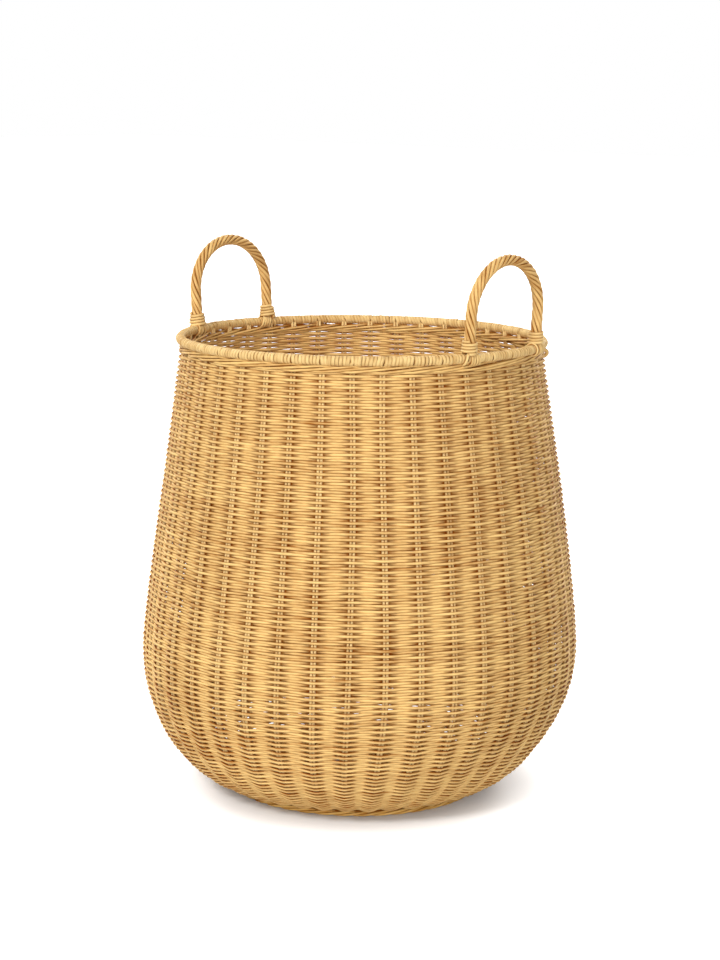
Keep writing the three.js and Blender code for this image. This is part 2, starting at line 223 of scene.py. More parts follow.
class Nodes:
    """The nodes of one material, world or group."""

    def __init__(self, tree: bpy.types.NodeTree) -> None:
        """Keeps the tree that the nodes go into."""
        self.tree = tree

    def feed(self, socket: Socket, value: object) -> None:
        """Gives an input its value.

        Args:
            socket: The input.
            value: A socket that is linked to it, or the value that it is set to.
        """
        if isinstance(value, Socket):
            self.tree.links.new(value, socket)
        else:
            socket.default_value = value

    def add(
        self, kind: str, inputs: dict[int | str, object] | None = None, **values: object
    ) -> bpy.types.Node:
        """Adds a node.

        Args:
            kind: Blender's name of the kind of node.
            inputs: Input name or number to a socket or a value.
            values: The node's properties by name.

        Returns:
            The node.
        """
        made = self.tree.nodes.new(kind)
        for key, value in values.items():
            setattr(made, key, value)
        for key, value in (inputs or {}).items():
            self.feed(made.inputs[key], value)
        return made

    def maths(self, operation: str, first: object, second: object, clamp: bool = False) -> Socket:
        """A sum of two sockets or numbers.

        Args:
            operation: Blender's name of the sum.
            first: A socket or a number.
            second: A socket or a number.
            clamp: Whether the result is held between 0 and 1.

        Returns:
            The socket that gives the result.
        """
        made = self.add("ShaderNodeMath", {0: first, 1: second}, operation=operation, use_clamp=clamp)
        return made.outputs[0]

    def vectors(self, operation: str, first: object, second: object) -> Socket:
        """A sum of two vectors or colours, number by number.

        Args:
            operation: Blender's name of the sum.
            first: A socket.
            second: A socket.

        Returns:
            The socket that gives the result.
        """
        return self.add("ShaderNodeVectorMath", {0: first, 1: second}, operation=operation).outputs[0]

    def combined(self, *parts: object) -> Socket:
        """A vector of three sockets or numbers."""
        return self.add("ShaderNodeCombineXYZ", dict(enumerate(parts))).outputs[0]

    def mapped(
        self, value: object, span: tuple[float, float], target: tuple[float, float] = (0.0, 1.0)
    ) -> Socket:
        """A value moved from one range to another, and held in it.

        Args:
            value: The socket that gives the value.
            span: The values that become the ends of the target.
            target: The ends of the new range.

        Returns:
            The socket that gives the result.
        """
        inputs = {"Value": value, "From Min": span[0], "From Max": span[1]}
        inputs |= {"To Min": target[0], "To Max": target[1]}
        return self.add("ShaderNodeMapRange", inputs).outputs["Result"]

    def noise(self, place: object, scale: object, detail: float, span: tuple[float, float]) -> Socket:
        """A soft random mask.

        Args:
            place: The socket that gives the place at which it is read.
            scale: Its patches a metre, a socket or a number.
            detail: How much fine detail it has.
            span: The raw values that become 0 and 1.

        Returns:
            The socket that gives the mask.
        """
        made = self.add("ShaderNodeTexNoise", {"Vector": place, "Scale": scale, "Detail": detail})
        return self.mapped(made.outputs["Fac"], span)


class ShaderGroup(Nodes):
    """A node group with named inputs and outputs, built once and used by several materials."""

    def __init__(self, name: str, inputs: dict[str, tuple[str, object]], outputs: dict[str, str]) -> None:
        """Makes the empty group.

        Args:
            name: The group's name.
            inputs: Socket name to its kind and default.
            outputs: Socket name to its kind.
        """
        super().__init__(bpy.data.node_groups.new(name, "ShaderNodeTree"))
        for title, (kind, default) in inputs.items():
            made = self.tree.interface.new_socket(name=title, in_out="INPUT", socket_type=kind)
            if default is not None:
                made.default_value = default
        for title, kind in outputs.items():
            self.tree.interface.new_socket(name=title, in_out="OUTPUT", socket_type=kind)
        self.source = self.add("NodeGroupInput")
        self.target = self.add("NodeGroupOutput")


def fibre_group() -> ShaderGroup:
    """Long fine fibres along a strand.

    Returns:
        A group that takes a place on the strand and gives the fibres' mask, fine and coarse.
    """
    group = ShaderGroup(
        "strand_fibres",
        {"Place": ("NodeSocketVector", None), "Fineness": ("NodeSocketFloat", 1500.0)},
        {"Fibres": "NodeSocketFloat", "Mottle": "NodeSocketFloat"},
    )
    place, fineness = group.source.outputs[:2]
    for output, (along, across_share, detail) in enumerate(FIBRE_LAYERS):
        across = group.maths("MULTIPLY", fineness, across_share)
        stretched = group.vectors("MULTIPLY", place, group.combined(along, across, across))
        group.feed(group.target.inputs[output], group.noise(stretched, 1.0, detail, FIBRE_SPAN))
    return group


def age_group() -> ShaderGroup:
    """Broad patches where the whole basket is a little darker or paler.

    Returns:
        A group that takes a size in patches a metre and gives a mask.
    """
    group = ShaderGroup("ageing", {"Patches": ("NodeSocketFloat", 9.0)}, {"Age": "NodeSocketFloat"})
    place = group.add("ShaderNodeTexCoord").outputs["Object"]
    group.feed(group.target.inputs[0], group.noise(place, group.source.outputs[0], AGE_DETAIL, AGE_SPAN))
    return group


def tone_group() -> ShaderGroup:
    """The colour of a strand from its own tone, its fibres and its age.

    In the deep tones blue fades first and red last: painted bounce light, standing in for light that goes
    from strand to strand in a groove.

    Returns:
        A group that gives the colour.
    """
    group = ShaderGroup(
        "strand_tone",
        {
            "Tone": ("NodeSocketFloat", 0.5),
            "Fibres": ("NodeSocketFloat", 0.5),
            "Mottle": ("NodeSocketFloat", 0.5),
            "Age": ("NodeSocketFloat", 0.5),
            "Fibre Depth": ("NodeSocketFloat", 0.3),
            "Pale": ("NodeSocketColor", (0.9, 0.7, 0.4, 1.0)),
            "Deep": ("NodeSocketColor", (0.6, 0.35, 0.12, 1.0)),
        },
        {"Color": "NodeSocketColor"},
    )
    tone, fibres, mottle, age, depth, pale, deep = group.source.outputs[:7]
    lined, mottled, aged = (
        group.maths("MULTIPLY", group.maths("SUBTRACT", mask, 0.5), strength)
        for mask, strength in ((fibres, depth), (mottle, MOTTLE_DEPTH), (age, AGE_DEPTH))
    )
    fine, broad = group.maths("ADD", tone, lined), group.maths("ADD", mottled, aged)
    share = group.maths("ADD", fine, broad, clamp=True)
    left = group.maths("SUBTRACT", 1.0, share)
    # Painted bounce light: the deeper the tone, the sooner blue and green fade before red.
    painted_bounce_share = group.maths("MULTIPLY", left, left)
    powers = [group.maths("ADD", group.maths("MULTIPLY", painted_bounce_share, bend), 1.0) for bend in PAINTED_BOUNCE_FADES]
    faded = group.combined(*(group.maths("POWER", share, power) for power in powers))
    span = group.vectors("SUBTRACT", pale, deep)
    group.feed(group.target.inputs[0], group.vectors("ADD", group.vectors("MULTIPLY", span, faded), deep))
    return group


@dataclass(frozen=True)
class Rattan:
    """The finish of one kind of strand.

    Attributes:
        slot: The record's material slot.
        pale: The colour of its palest strands.
        deep: The colour of its darkest strands.
        roughness: How dull it is between the fibres.
        gloss_spread: How far the mottle moves the roughness either way.
        fibre_depth: How much the fibres change its colour.
        fineness: Fibres a metre across the strand.
        bump: How strongly the fibres stand out.
        bump_depth: How deep the fibres are.
        specular: The strength of its gloss.
    """

    slot: Slot
    pale: Colour
    deep: Colour
    roughness: float = 0.55
    gloss_spread: float = 0.1
    fibre_depth: float = 0.3
    fineness: float = 1500.0
    bump: float = 0.35
    bump_depth: float = 0.08 * MM
    specular: float = 0.08

    def material(self, groups: dict[str, ShaderGroup]) -> Material:
        """Builds the material.

        Args:
            groups: The shared node groups by name.

        Returns:
            The material, with its colour, gloss and fibres.
        """
        made = bpy.data.materials.new(self.slot.value)
        made.use_nodes = True
        nodes = Nodes(made.node_tree)
        place = nodes.add("ShaderNodeAttribute", attribute_name="strand_place").outputs["Vector"]
        tone = nodes.add("ShaderNodeAttribute", attribute_name="strand_tone").outputs["Fac"]
        age = nodes.add("ShaderNodeGroup", node_tree=groups["age"].tree).outputs["Age"]
        sizes = {"Place": place, "Fineness": self.fineness}
        masks = nodes.add("ShaderNodeGroup", sizes, node_tree=groups["fibres"].tree).outputs
        shares = {"Tone": tone, "Fibres": masks["Fibres"], "Mottle": masks["Mottle"], "Age": age}
        shares["Fibre Depth"] = self.fibre_depth
        shares |= {"Pale": (*self.pale, 1.0), "Deep": (*self.deep, 1.0)}
        colour = nodes.add("ShaderNodeGroup", shares, node_tree=groups["tone"].tree)
        rough = (self.roughness + self.gloss_spread, self.roughness - self.gloss_spread)
        relief = {"Strength": self.bump, "Distance": self.bump_depth, "Height": masks["Fibres"]}
        look = {
            "Base Color": colour.outputs["Color"],
            "Roughness": nodes.mapped(masks["Mottle"], (0.0, 1.0), rough),
            "Normal": nodes.add("ShaderNodeBump", relief).outputs["Normal"],
            "Specular IOR Level": self.specular,
        }
        for name, value in look.items():
            nodes.feed(made.node_tree.nodes["Principled BSDF"].inputs[name], value)
        return made


@dataclass
class StrandMesh:
    """Collects strands, each a closed tube along its own line, and makes one piece of them.

    The tone deepens in the grooves between strands and on the hidden side of each: painted shade.

    Attributes:
        name: The piece's name.
        painted_groove_shade: How much deeper the tone is at a strand's edges, painted shade in the grooves.
        painted_hidden_shade: How much deeper it is on the side that no light reaches, painted shade.
        sides: How many corners a strand's section has, an even number.
        section: The outline of that section.
        corners, quads, tones, places: What has been collected so far.
        count: How many corners have been collected.
    """

    name: str
    # Painted shade: tone taken off a strand's edges and off its hidden side.
    painted_groove_shade: float = 0.7
    painted_hidden_shade: float = 0.85
    sides: int = 6
    section: Section = Section.ROUND
    corners: list[np.ndarray] = field(default_factory=list)
    quads: list[np.ndarray] = field(default_factory=list)
    tones: list[np.ndarray] = field(default_factory=list)
    places: list[np.ndarray] = field(default_factory=list)
    count: int = 0

    def _keep(self, corners: np.ndarray, tones: np.ndarray, places: np.ndarray) -> int:
        """Adds corners.

        Args:
            corners: Where they are.
            tones: Their tones.
            places: Their places on the strand.

        Returns:
            The number of the first of them.
        """
        first = self.count
        self.corners.append(corners)
        self.tones.append(tones)
        self.places.append(places)
        self.count += len(corners)
        return first

    def add(
        self,
        line: np.ndarray,
        facing: np.ndarray,
        half_width: float | np.ndarray,
        half_depth: float | np.ndarray,
        tone: float | np.ndarray,
        start: float = 0.0,
        cover: float | np.ndarray = 1.0,
        groove: float | np.ndarray = 1.0,
        closed: bool = False,
    ) -> None:
        """Adds one strand.

        Args:
            line: The points of its middle line.
            facing: The direction at each point in which its depth is measured.
            half_width: Half its size across, at each point or all along.
            half_depth: Half its size along facing, at each point or all along.
            tone: Its tone from 0, deep, to 1, pale, at each point or all along.
            start: The place of its first point along its fibres.
            cover: 1 where only its facing side is open to the light, -1 where only its back is, 0 for both;
                the closed side gets painted shade.
            groove: How deep the painted shade of its edges is, as a share of the piece's painted groove
                shade.
            closed: Whether its end meets its start.
        """
        count, sides = len(line), self.sides
        step = np.roll(line, -1, axis=0) - np.roll(line, 1, axis=0) if closed else np.gradient(line, axis=0)
        along = unit(step)
        out = unit(facing - np.sum(facing * along, axis=1, keepdims=True) * along)
        side = np.cross(along, out)
        across, up = self.section.outline(sides).T[:, None]
        wide, deep = column(half_width, count) * across, column(half_depth, count) * up
        rings = line[:, None] + wide[..., None] * side[:, None] + deep[..., None] * out[:, None]
        run = start + travelled(line)
        places = np.stack([np.broadcast_to(run[:, None], wide.shape), wide, deep + start], axis=-1)
        # Painted shade: the section's edges, and the side turned from the light, are darkened in tone.
        edges = column(groove, count) * self.painted_groove_shade * (1 - np.abs(up))
        hidden = self.painted_hidden_shade * (-column(cover, count) * np.sign(up))
        tones = column(tone, count) - np.maximum(edges, hidden)
        first = self._keep(rings.reshape(-1, 3), tones.reshape(-1), places.reshape(-1, 3))
        row = np.arange(count if closed else count - 1)[:, None]
        corner = np.arange(sides)[None, :]
        here, there = row * sides, ((row + 1) % count) * sides
        after = (corner + 1) % sides
        quads = np.stack([here + corner, there + corner, there + after, here + after], axis=-1)
        self.quads.append(first + quads.reshape(-1, 4))
        if not closed:
            fan = np.array([[0, i, i + 1, i + 2] for i in range(1, sides - 1, 2)])
            for ring, order in ((0, 1), (count - 1, -1)):
                cap = self._keep(rings[ring], tones[ring], places[ring])
                self.quads.append(cap + fan[:, ::order])

    def make(self, material: Material, nodes: list[str]) -> bpy.types.Object:
        """Makes the piece, sets it on its body and hides the CAD nodes that it stands for.

        Args:
            material: The piece's material.
            nodes: The CAD nodes that it stands for.

        Returns:
            The piece.
        """
        corners, quads = np.concatenate(self.corners), np.concatenate(self.quads)
        mesh = bpy.data.meshes.new(self.name)
        mesh.vertices.add(len(corners))
        mesh.vertices.foreach_set("co", corners.astype(np.float32).ravel())
        mesh.loops.add(quads.size)
        mesh.loops.foreach_set("vertex_index", quads.astype(np.int32).ravel())
        mesh.polygons.add(len(quads))
        mesh.polygons.foreach_set("loop_start", np.arange(0, quads.size, 4, dtype=np.int32))
        mesh.polygons.foreach_set("use_smooth", np.ones(len(quads), bool))
        mesh.update(calc_edges=True)
        tone = mesh.attributes.new("strand_tone", "FLOAT", "POINT")
        tone.data.foreach_set("value", np.concatenate(self.tones).astype(np.float32))
        place = mesh.attributes.new("strand_place", "FLOAT_VECTOR", "POINT")
        place.data.foreach_set("vector", np.concatenate(self.places).astype(np.float32).ravel())
        mesh.materials.append(material)
        piece = add_object(self.name, mesh)
        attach(piece, BODY)
        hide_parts(*nodes)
        LOG.info("%s: %d faces, stands for %s", self.name, len(quads), ", ".join(nodes))
        return piece


@dataclass
class WallLine:
    """The middle line of the base and wall: flat, then up round the belly, then leaning in to the rim.

    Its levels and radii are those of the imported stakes. A place on it is its length from the base's middle.

    Attributes:
        rod, packed_rod: The diameter of a stake here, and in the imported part.
        base_radius, base_level: Where the flat base ends, and how high it lies.
        belly_height, neck_radius, neck_level: The widest place, and the top of the line.
        base_pull_share, belly_lower_pull_share: How far the lower curve's control points stand off its ends.
        belly_upper_pull_share, neck_pull_share, neck_lean_share: The same for the upper curve.
        curve_steps, flat_steps: How many points each curve and the flat base have.
        fullness, full_level, full_spread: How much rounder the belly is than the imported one, and where.
        sway_azimuth, sway_levels, sway_shifts: Which way and how far the outline strays at each level.
        belly_radius: The widest radius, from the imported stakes.
        table, lengths: The line's points, as radius and height, and their places on it.
    """

    rod: float = 2.85 * MM
    packed_rod: float = 2.8 * MM
    base_radius: float = 126 * MM
    base_level: float = 9.27 * MM
    belly_height: float = 150 * MM
    neck_radius: float = 181.7 * MM
    neck_level: float = 461.5 * MM
    base_pull_share: float = 0.475
    belly_lower_pull_share: float = 0.545
    belly_upper_pull_share: float = 0.193
    neck_pull_share: float = 0.48
    neck_lean_share: float = 0.14
    curve_steps: int = 600
    flat_steps: int = 200
    fullness: float = 2.2 * MM
    full_level: float = 125 * MM
    full_spread: float = 62 * MM
    sway_azimuth: float = math.radians(38.8)
    sway_levels: tuple[float, ...] = (0.0, 50 * MM, 85 * MM, 130 * MM, 200 * MM, 330 * MM, 452 * MM)
    sway_shifts: tuple[float, ...] = (-2.5 * MM, -2.5 * MM, -0.8 * MM, 1.6 * MM, 2.3 * MM, 2.2 * MM, 0.0)
    belly_radius: float = field(init=False)
    table: np.ndarray = field(init=False)
    lengths: np.ndarray = field(init=False)

    def __post_init__(self) -> None:
        """Works out the line's points and their lengths from the middle of the base."""
        self.belly_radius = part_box("stake_bundle_1")[1].x - self.packed_rod / 2
        flare = self.belly_radius - self.base_radius
        bowl = self.belly_height - self.base_level
        upper = self.neck_level - self.belly_height
        lean = self.neck_lean_share * self.neck_pull_share * upper
        belly = (self.belly_radius, self.belly_height)
        lower = self._curve(
            (self.base_radius, self.base_level),
            (self.base_radius + self.base_pull_share * flare, self.base_level),
            (self.belly_radius, self.belly_height - self.belly_lower_pull_share * bowl),
            belly,
        )
        higher = self._curve(
            belly,
            (self.belly_radius, self.belly_height + self.belly_upper_pull_share * upper),
            (self.neck_radius + lean, self.neck_level - self.neck_pull_share * upper),
            (self.neck_radius, self.neck_level),
        )
        inner = np.linspace(0, self.base_radius, self.flat_steps)
        flat = np.stack([inner, np.full(self.flat_steps, self.base_level)], axis=1)
        self.table = np.concatenate([flat, lower[1:], higher[1:]])
        above = (self.table[:, 1] - self.full_level) / self.full_spread
        self.table[:, 0] += self.fullness * np.exp(-above * above) * ease(self.table[:, 1] / self.full_level)
        self.lengths = travelled(self.table)

    def _curve(self, *points: tuple[float, float]) -> np.ndarray:
        """The points of a cubic curve.

        Args:
            points: Its four control points.

        Returns:
            One row a point.
        """
        share = np.linspace(0, 1, self.curve_steps)[:, None]
        left = 1 - share
        a, b, c, d = (np.array(p) for p in points)
        return a * left**3 + 3 * b * share * left**2 + 3 * c * share**2 * left + d * share**3

    @property
    def end(self) -> float:
        """The length from the middle of the base to the top of the neck."""
        return float(self.lengths[-1])

    def at(self, length: np.ndarray) -> Placed:
        """Radius and height, and the outward direction, at lengths along the line.

        Args:
            length: The lengths.

        Returns:
            Radius and height in one array, and the direction's radial and upward shares in another.
        """
        pair = [np.interp(length, self.lengths, self.table[:, i]) for i in (0, 1)]
        slopes = np.gradient(self.table, self.lengths, axis=0)
        radial, upward = (np.interp(length, self.lengths, slopes[:, i]) for i in (0, 1))
        return np.stack(pair, axis=-1), unit(np.stack([upward, -radial], axis=-1))

    def swayed(self, points: np.ndarray) -> np.ndarray:
        """The points moved sideways by as much as handwork strays from a true round at each level."""
        shift = np.interp(points[..., 2], self.sway_levels, self.sway_shifts)[..., None]
        return points + shift * np.array([math.cos(self.sway_azimuth), math.sin(self.sway_azimuth), 0.0])

    def place(self, length: np.ndarray, azimuth: np.ndarray, outwards: np.ndarray) -> Placed:
        """Points near the wall.

        Args:
            length: Lengths along the line.
            azimuth: Angles round the basket from +X.
            outwards: How far each point stands off the line, outwards.

        Returns:
            The points, and the outward direction at each.
        """
        spot, direction = self.at(length)
        spot = spot + direction * np.asarray(outwards)[..., None]
        turn = heading(azimuth)[..., :2]
        points = np.concatenate([turn * spot[..., :1], spot[..., 1:]], axis=-1)
        facing = np.concatenate([turn * direction[..., :1], direction[..., 1:]], axis=-1)
        return self.swayed(points), facing


@dataclass
class Layout:
    """Where the pairs of stakes stand round the basket, and how the rows wander, as handwork does.

    Attributes:
        wall: The middle line of base and wall.
        pairs: How many pairs of stakes there are.
        seed: The seed of the wander.
        stake_wander, lean_share, swing_share: How far a pair leans and swings off its even angle.
        swing_length: How far along the wall a swing takes.
        row_wander, wave_share: How far the rows rise and fall in slow waves.
        wave_counts, wave_slope, wave_length: Waves a round, and how fast they turn along the wall.
        pair_wander, wander_step: How far a row strays at one pair, and how long a stray lasts.
        settle, rim_calm: How soon the wander sets in over the base and dies away under the rim.
    """

    wall: WallLine
    pairs: int = 40
    seed: int = 11
    stake_wander: float = math.radians(0.3)
    lean_share: float = 0.7
    swing_share: float = 0.6
    swing_length: float = 70 * MM
    row_wander: float = 0.6 * MM
    wave_share: float = 0.5
    wave_counts: tuple[int, ...] = (2, 3, 5, 7, 11)
    wave_slope: float = 6.0
    wave_length: float = 100 * MM
    pair_wander: float = 0.45 * MM
    wander_step: float = 24 * MM
    settle: float = 60 * MM
    rim_calm: float = 8 * MM

    def __post_init__(self) -> None:
        """Draws the wander of each pair and of the rows."""
        rng = np.random.default_rng(self.seed)
        slope = self.wave_slope
        self.lean = rng.normal(size=self.pairs) * self.stake_wander * self.lean_share
        self.swing = rng.normal(size=self.pairs) * self.stake_wander * self.swing_share
        self.phase = rng.uniform(0, TAU, self.pairs)
        self.waves = [(n, rng.uniform(0, TAU), rng.uniform(-slope, slope)) for n in self.wave_counts]
        self.steps = rng.normal(size=(self.pairs, int(self.wall.end / self.wander_step) + 3))

    def _envelope(self, length: np.ndarray) -> np.ndarray:
        """How much of the wander shows: none in the base and at the rim."""
        low = ease((length - self.wall.base_radius) / self.settle)
        return low * ease((self.wall.end - self.rim_calm - length) / self.settle)

    def azimuth(self, index: np.ndarray, length: np.ndarray) -> np.ndarray:
        """The angle round the basket of a place between pairs.

        Args:
            index: The pair's number, with a fraction between two pairs.
            length: The length along the wall line.

        Returns:
            The angles.
        """
        low = np.floor(index).astype(int)
        share = index - low
        grown = low / self.pairs * TAU
        wander = np.zeros_like(grown)
        for number, weight in ((low, 1 - share), (low + 1, share)):
            k = number % self.pairs
            swing = self.swing[k] * np.sin(length / self.swing_length + self.phase[k])
            wander = wander + weight * (self.lean[k] + swing)
        return grown + share / self.pairs * TAU + wander * self._envelope(length)

    def _pair_shift(self, pair: np.ndarray, length: np.ndarray) -> np.ndarray:
        """How far the rows stray at one pair, smoothly along the wall.

        Args:
            pair: The pair's number.
            length: The length along the wall line.

        Returns:
            The distance at each place, before its size is set.
        """
        place = length / self.wander_step
        low = place.astype(int)
        share = ease(place - low)
        pair = pair % self.pairs
        return self.steps[pair, low] * (1 - share) + self.steps[pair, low + 1] * share

    def row_shift(self, index: np.ndarray, azimuth: np.ndarray, length: np.ndarray) -> np.ndarray:
        """How far a row strays along the wall at places round the basket.

        Args:
            index: The pair's number, with a fraction between two pairs.
            azimuth: The angle round the basket.
            length: The length along the wall line.

        Returns:
            The distance at each place.
        """
        strayed = sum(
            np.sin(n * azimuth + phase + slope * length / self.wave_length) / math.sqrt(n)
            for n, phase, slope in self.waves
        )
        low = np.floor(index).astype(int)
        share = ease(index - low)
        beside = self._pair_shift(low, length) * (1 - share) + self._pair_shift(low + 1, length) * share
        whole = self.row_wander * self.wave_share * strayed + self.pair_wander * beside
        return whole * self._envelope(length)


@dataclass
class Stakes:
    """The doubled rods: four bundles of five pairs, from the rim across the base to the rim again.

    Attributes:
        layout: Where the pairs stand.
        bundles, lanes: How many bundles cross under the base, and how many pairs each has.
        lane_pitch, level_pitch: The distance between two pairs of a bundle, and between two bundles' levels.
        crossing_radius, bundled_radius: Where a bundle starts to leave its level, and where it has left it.
        fan_radius: Where its pairs have spread to their even angles.
        top_level: Where the stakes end, in the rim.
        pair_pitch: The distance between the two rods of a pair.
        sample, rounding: The distance between two points, and how many of them round a corner.
        painted_groove_shade, tone: The painted shade in the grooves, and the rods' tone, kept high as painted
            light in the shade of the rows.
        seed: The seed of the tones.
    """

    layout: Layout
    bundles: int = 4
    lanes: int = 5
    lane_pitch: float = 5.4 * MM
    level_pitch: float = 3.1 * MM
    crossing_radius: float = 38 * MM
    bundled_radius: float = 50 * MM
    fan_radius: float = 80 * MM
    top_level: float = 465 * MM
    pair_pitch: float = 3.08 * MM
    sample: float = 8 * MM
    rounding: int = 3
    painted_groove_shade: float = 0.4
    # Painted light: the rods are toned pale to stand bright in the shade of the rows over them.
    tone: Stray = Stray(1.0, 0.1, ((0.08, 9),))
    seed: int = 21

    def _arm(self, bundle: int, lane: float, direction: int) -> Placed:
        """One arm of a pair, from the centre of the base to the rim.

        Args:
            bundle: The bundle's number, from the lowest up.
            lane: The pair's place in it, 0 in the middle.
            direction: 1 for the arm ahead and -1 for the one behind.

        Returns:
            The middle line of the pair, and the outward direction along it.
        """
        wall = self.layout.wall
        axis = bundle * math.pi / self.bundles
        spread = TAU / self.layout.pairs
        number = round(axis / spread) + lane if direction > 0 else round((axis + math.pi) / spread) - lane
        length = np.arange(0, wall.end, self.sample)
        azimuth = self.layout.azimuth(np.full(len(length), float(number)), length)
        points, facing = wall.place(length, azimuth, np.zeros(len(length)))
        ahead = direction * np.array([math.cos(axis), math.sin(axis), 0.0])
        sideways = np.array([-math.sin(axis), math.cos(axis), 0.0]) * lane * self.lane_pitch
        straight = length[:, None] * ahead + sideways
        level = (bundle - (self.bundles - 1) / 2) * self.level_pitch
        straight[:, :2] += wall.swayed(np.zeros((1, 3)))[:, :2]
        left = (length - self.crossing_radius) / (self.bundled_radius - self.crossing_radius)
        straight[:, 2] = wall.base_level + level * (1 - ease(left))
        fanned = (length - self.bundled_radius) / (self.fan_radius - self.bundled_radius)
        share = np.clip(fanned, 0, 1)[:, None]
        points = straight * (1 - share) + points * share
        end = points[-1] * np.array([1.0, 1.0, 0.0]) + np.array([0.0, 0.0, self.top_level])
        return np.concatenate([points, end[None]]), np.concatenate([facing, facing[-1:]])

    def _rounded(self, line: np.ndarray) -> np.ndarray:
        """Rounds the corners of a line.

        Args:
            line: The line's points.

        Returns:
            The rounded line, with the same ends.
        """
        padded = np.pad(line, ((self.rounding, self.rounding), (0, 0)), mode="edge")
        weights = np.hanning(2 * self.rounding + 3)[1:-1]
        weights /= weights.sum()
        made = np.stack([np.convolve(padded[:, i], weights, mode="valid") for i in range(3)], axis=1)
        keep = ease(np.minimum(np.arange(len(line)), np.arange(len(line))[::-1]) / self.rounding)[:, None]
        return line * (1 - keep) + made * keep

    def build(self, material: Material) -> None:
        """Makes a piece of each bundle.

        Args:
            material: The rods' material.
        """
        half = self.layout.wall.rod / 2
        rng = np.random.default_rng(self.seed)
        for bundle in range(self.bundles):
            strands = StrandMesh(f"stake_rods_{bundle + 1}", self.painted_groove_shade)
            for lane in np.arange(self.lanes) - (self.lanes - 1) / 2:
                first, first_facing = self._arm(bundle, lane, -1)
                second, second_facing = self._arm(bundle, lane, 1)
                line = self._rounded(np.concatenate([first[:0:-1], second]))
                facing = np.concatenate([first_facing[:0:-1], second_facing])
                across = unit(np.cross(unit(np.gradient(line, axis=0)), facing))
                for side in (-1, 1):
                    rod = line + across * side * self.pair_pitch / 2
                    tone = self.tone.draw(rng, len(line))
                    strands.add(rod, facing, half, half, tone, start=rng.uniform(*FIBRE_STARTS), cover=0.0)
            strands.make(material, [f"stake_bundle_{bundle + 1}"])


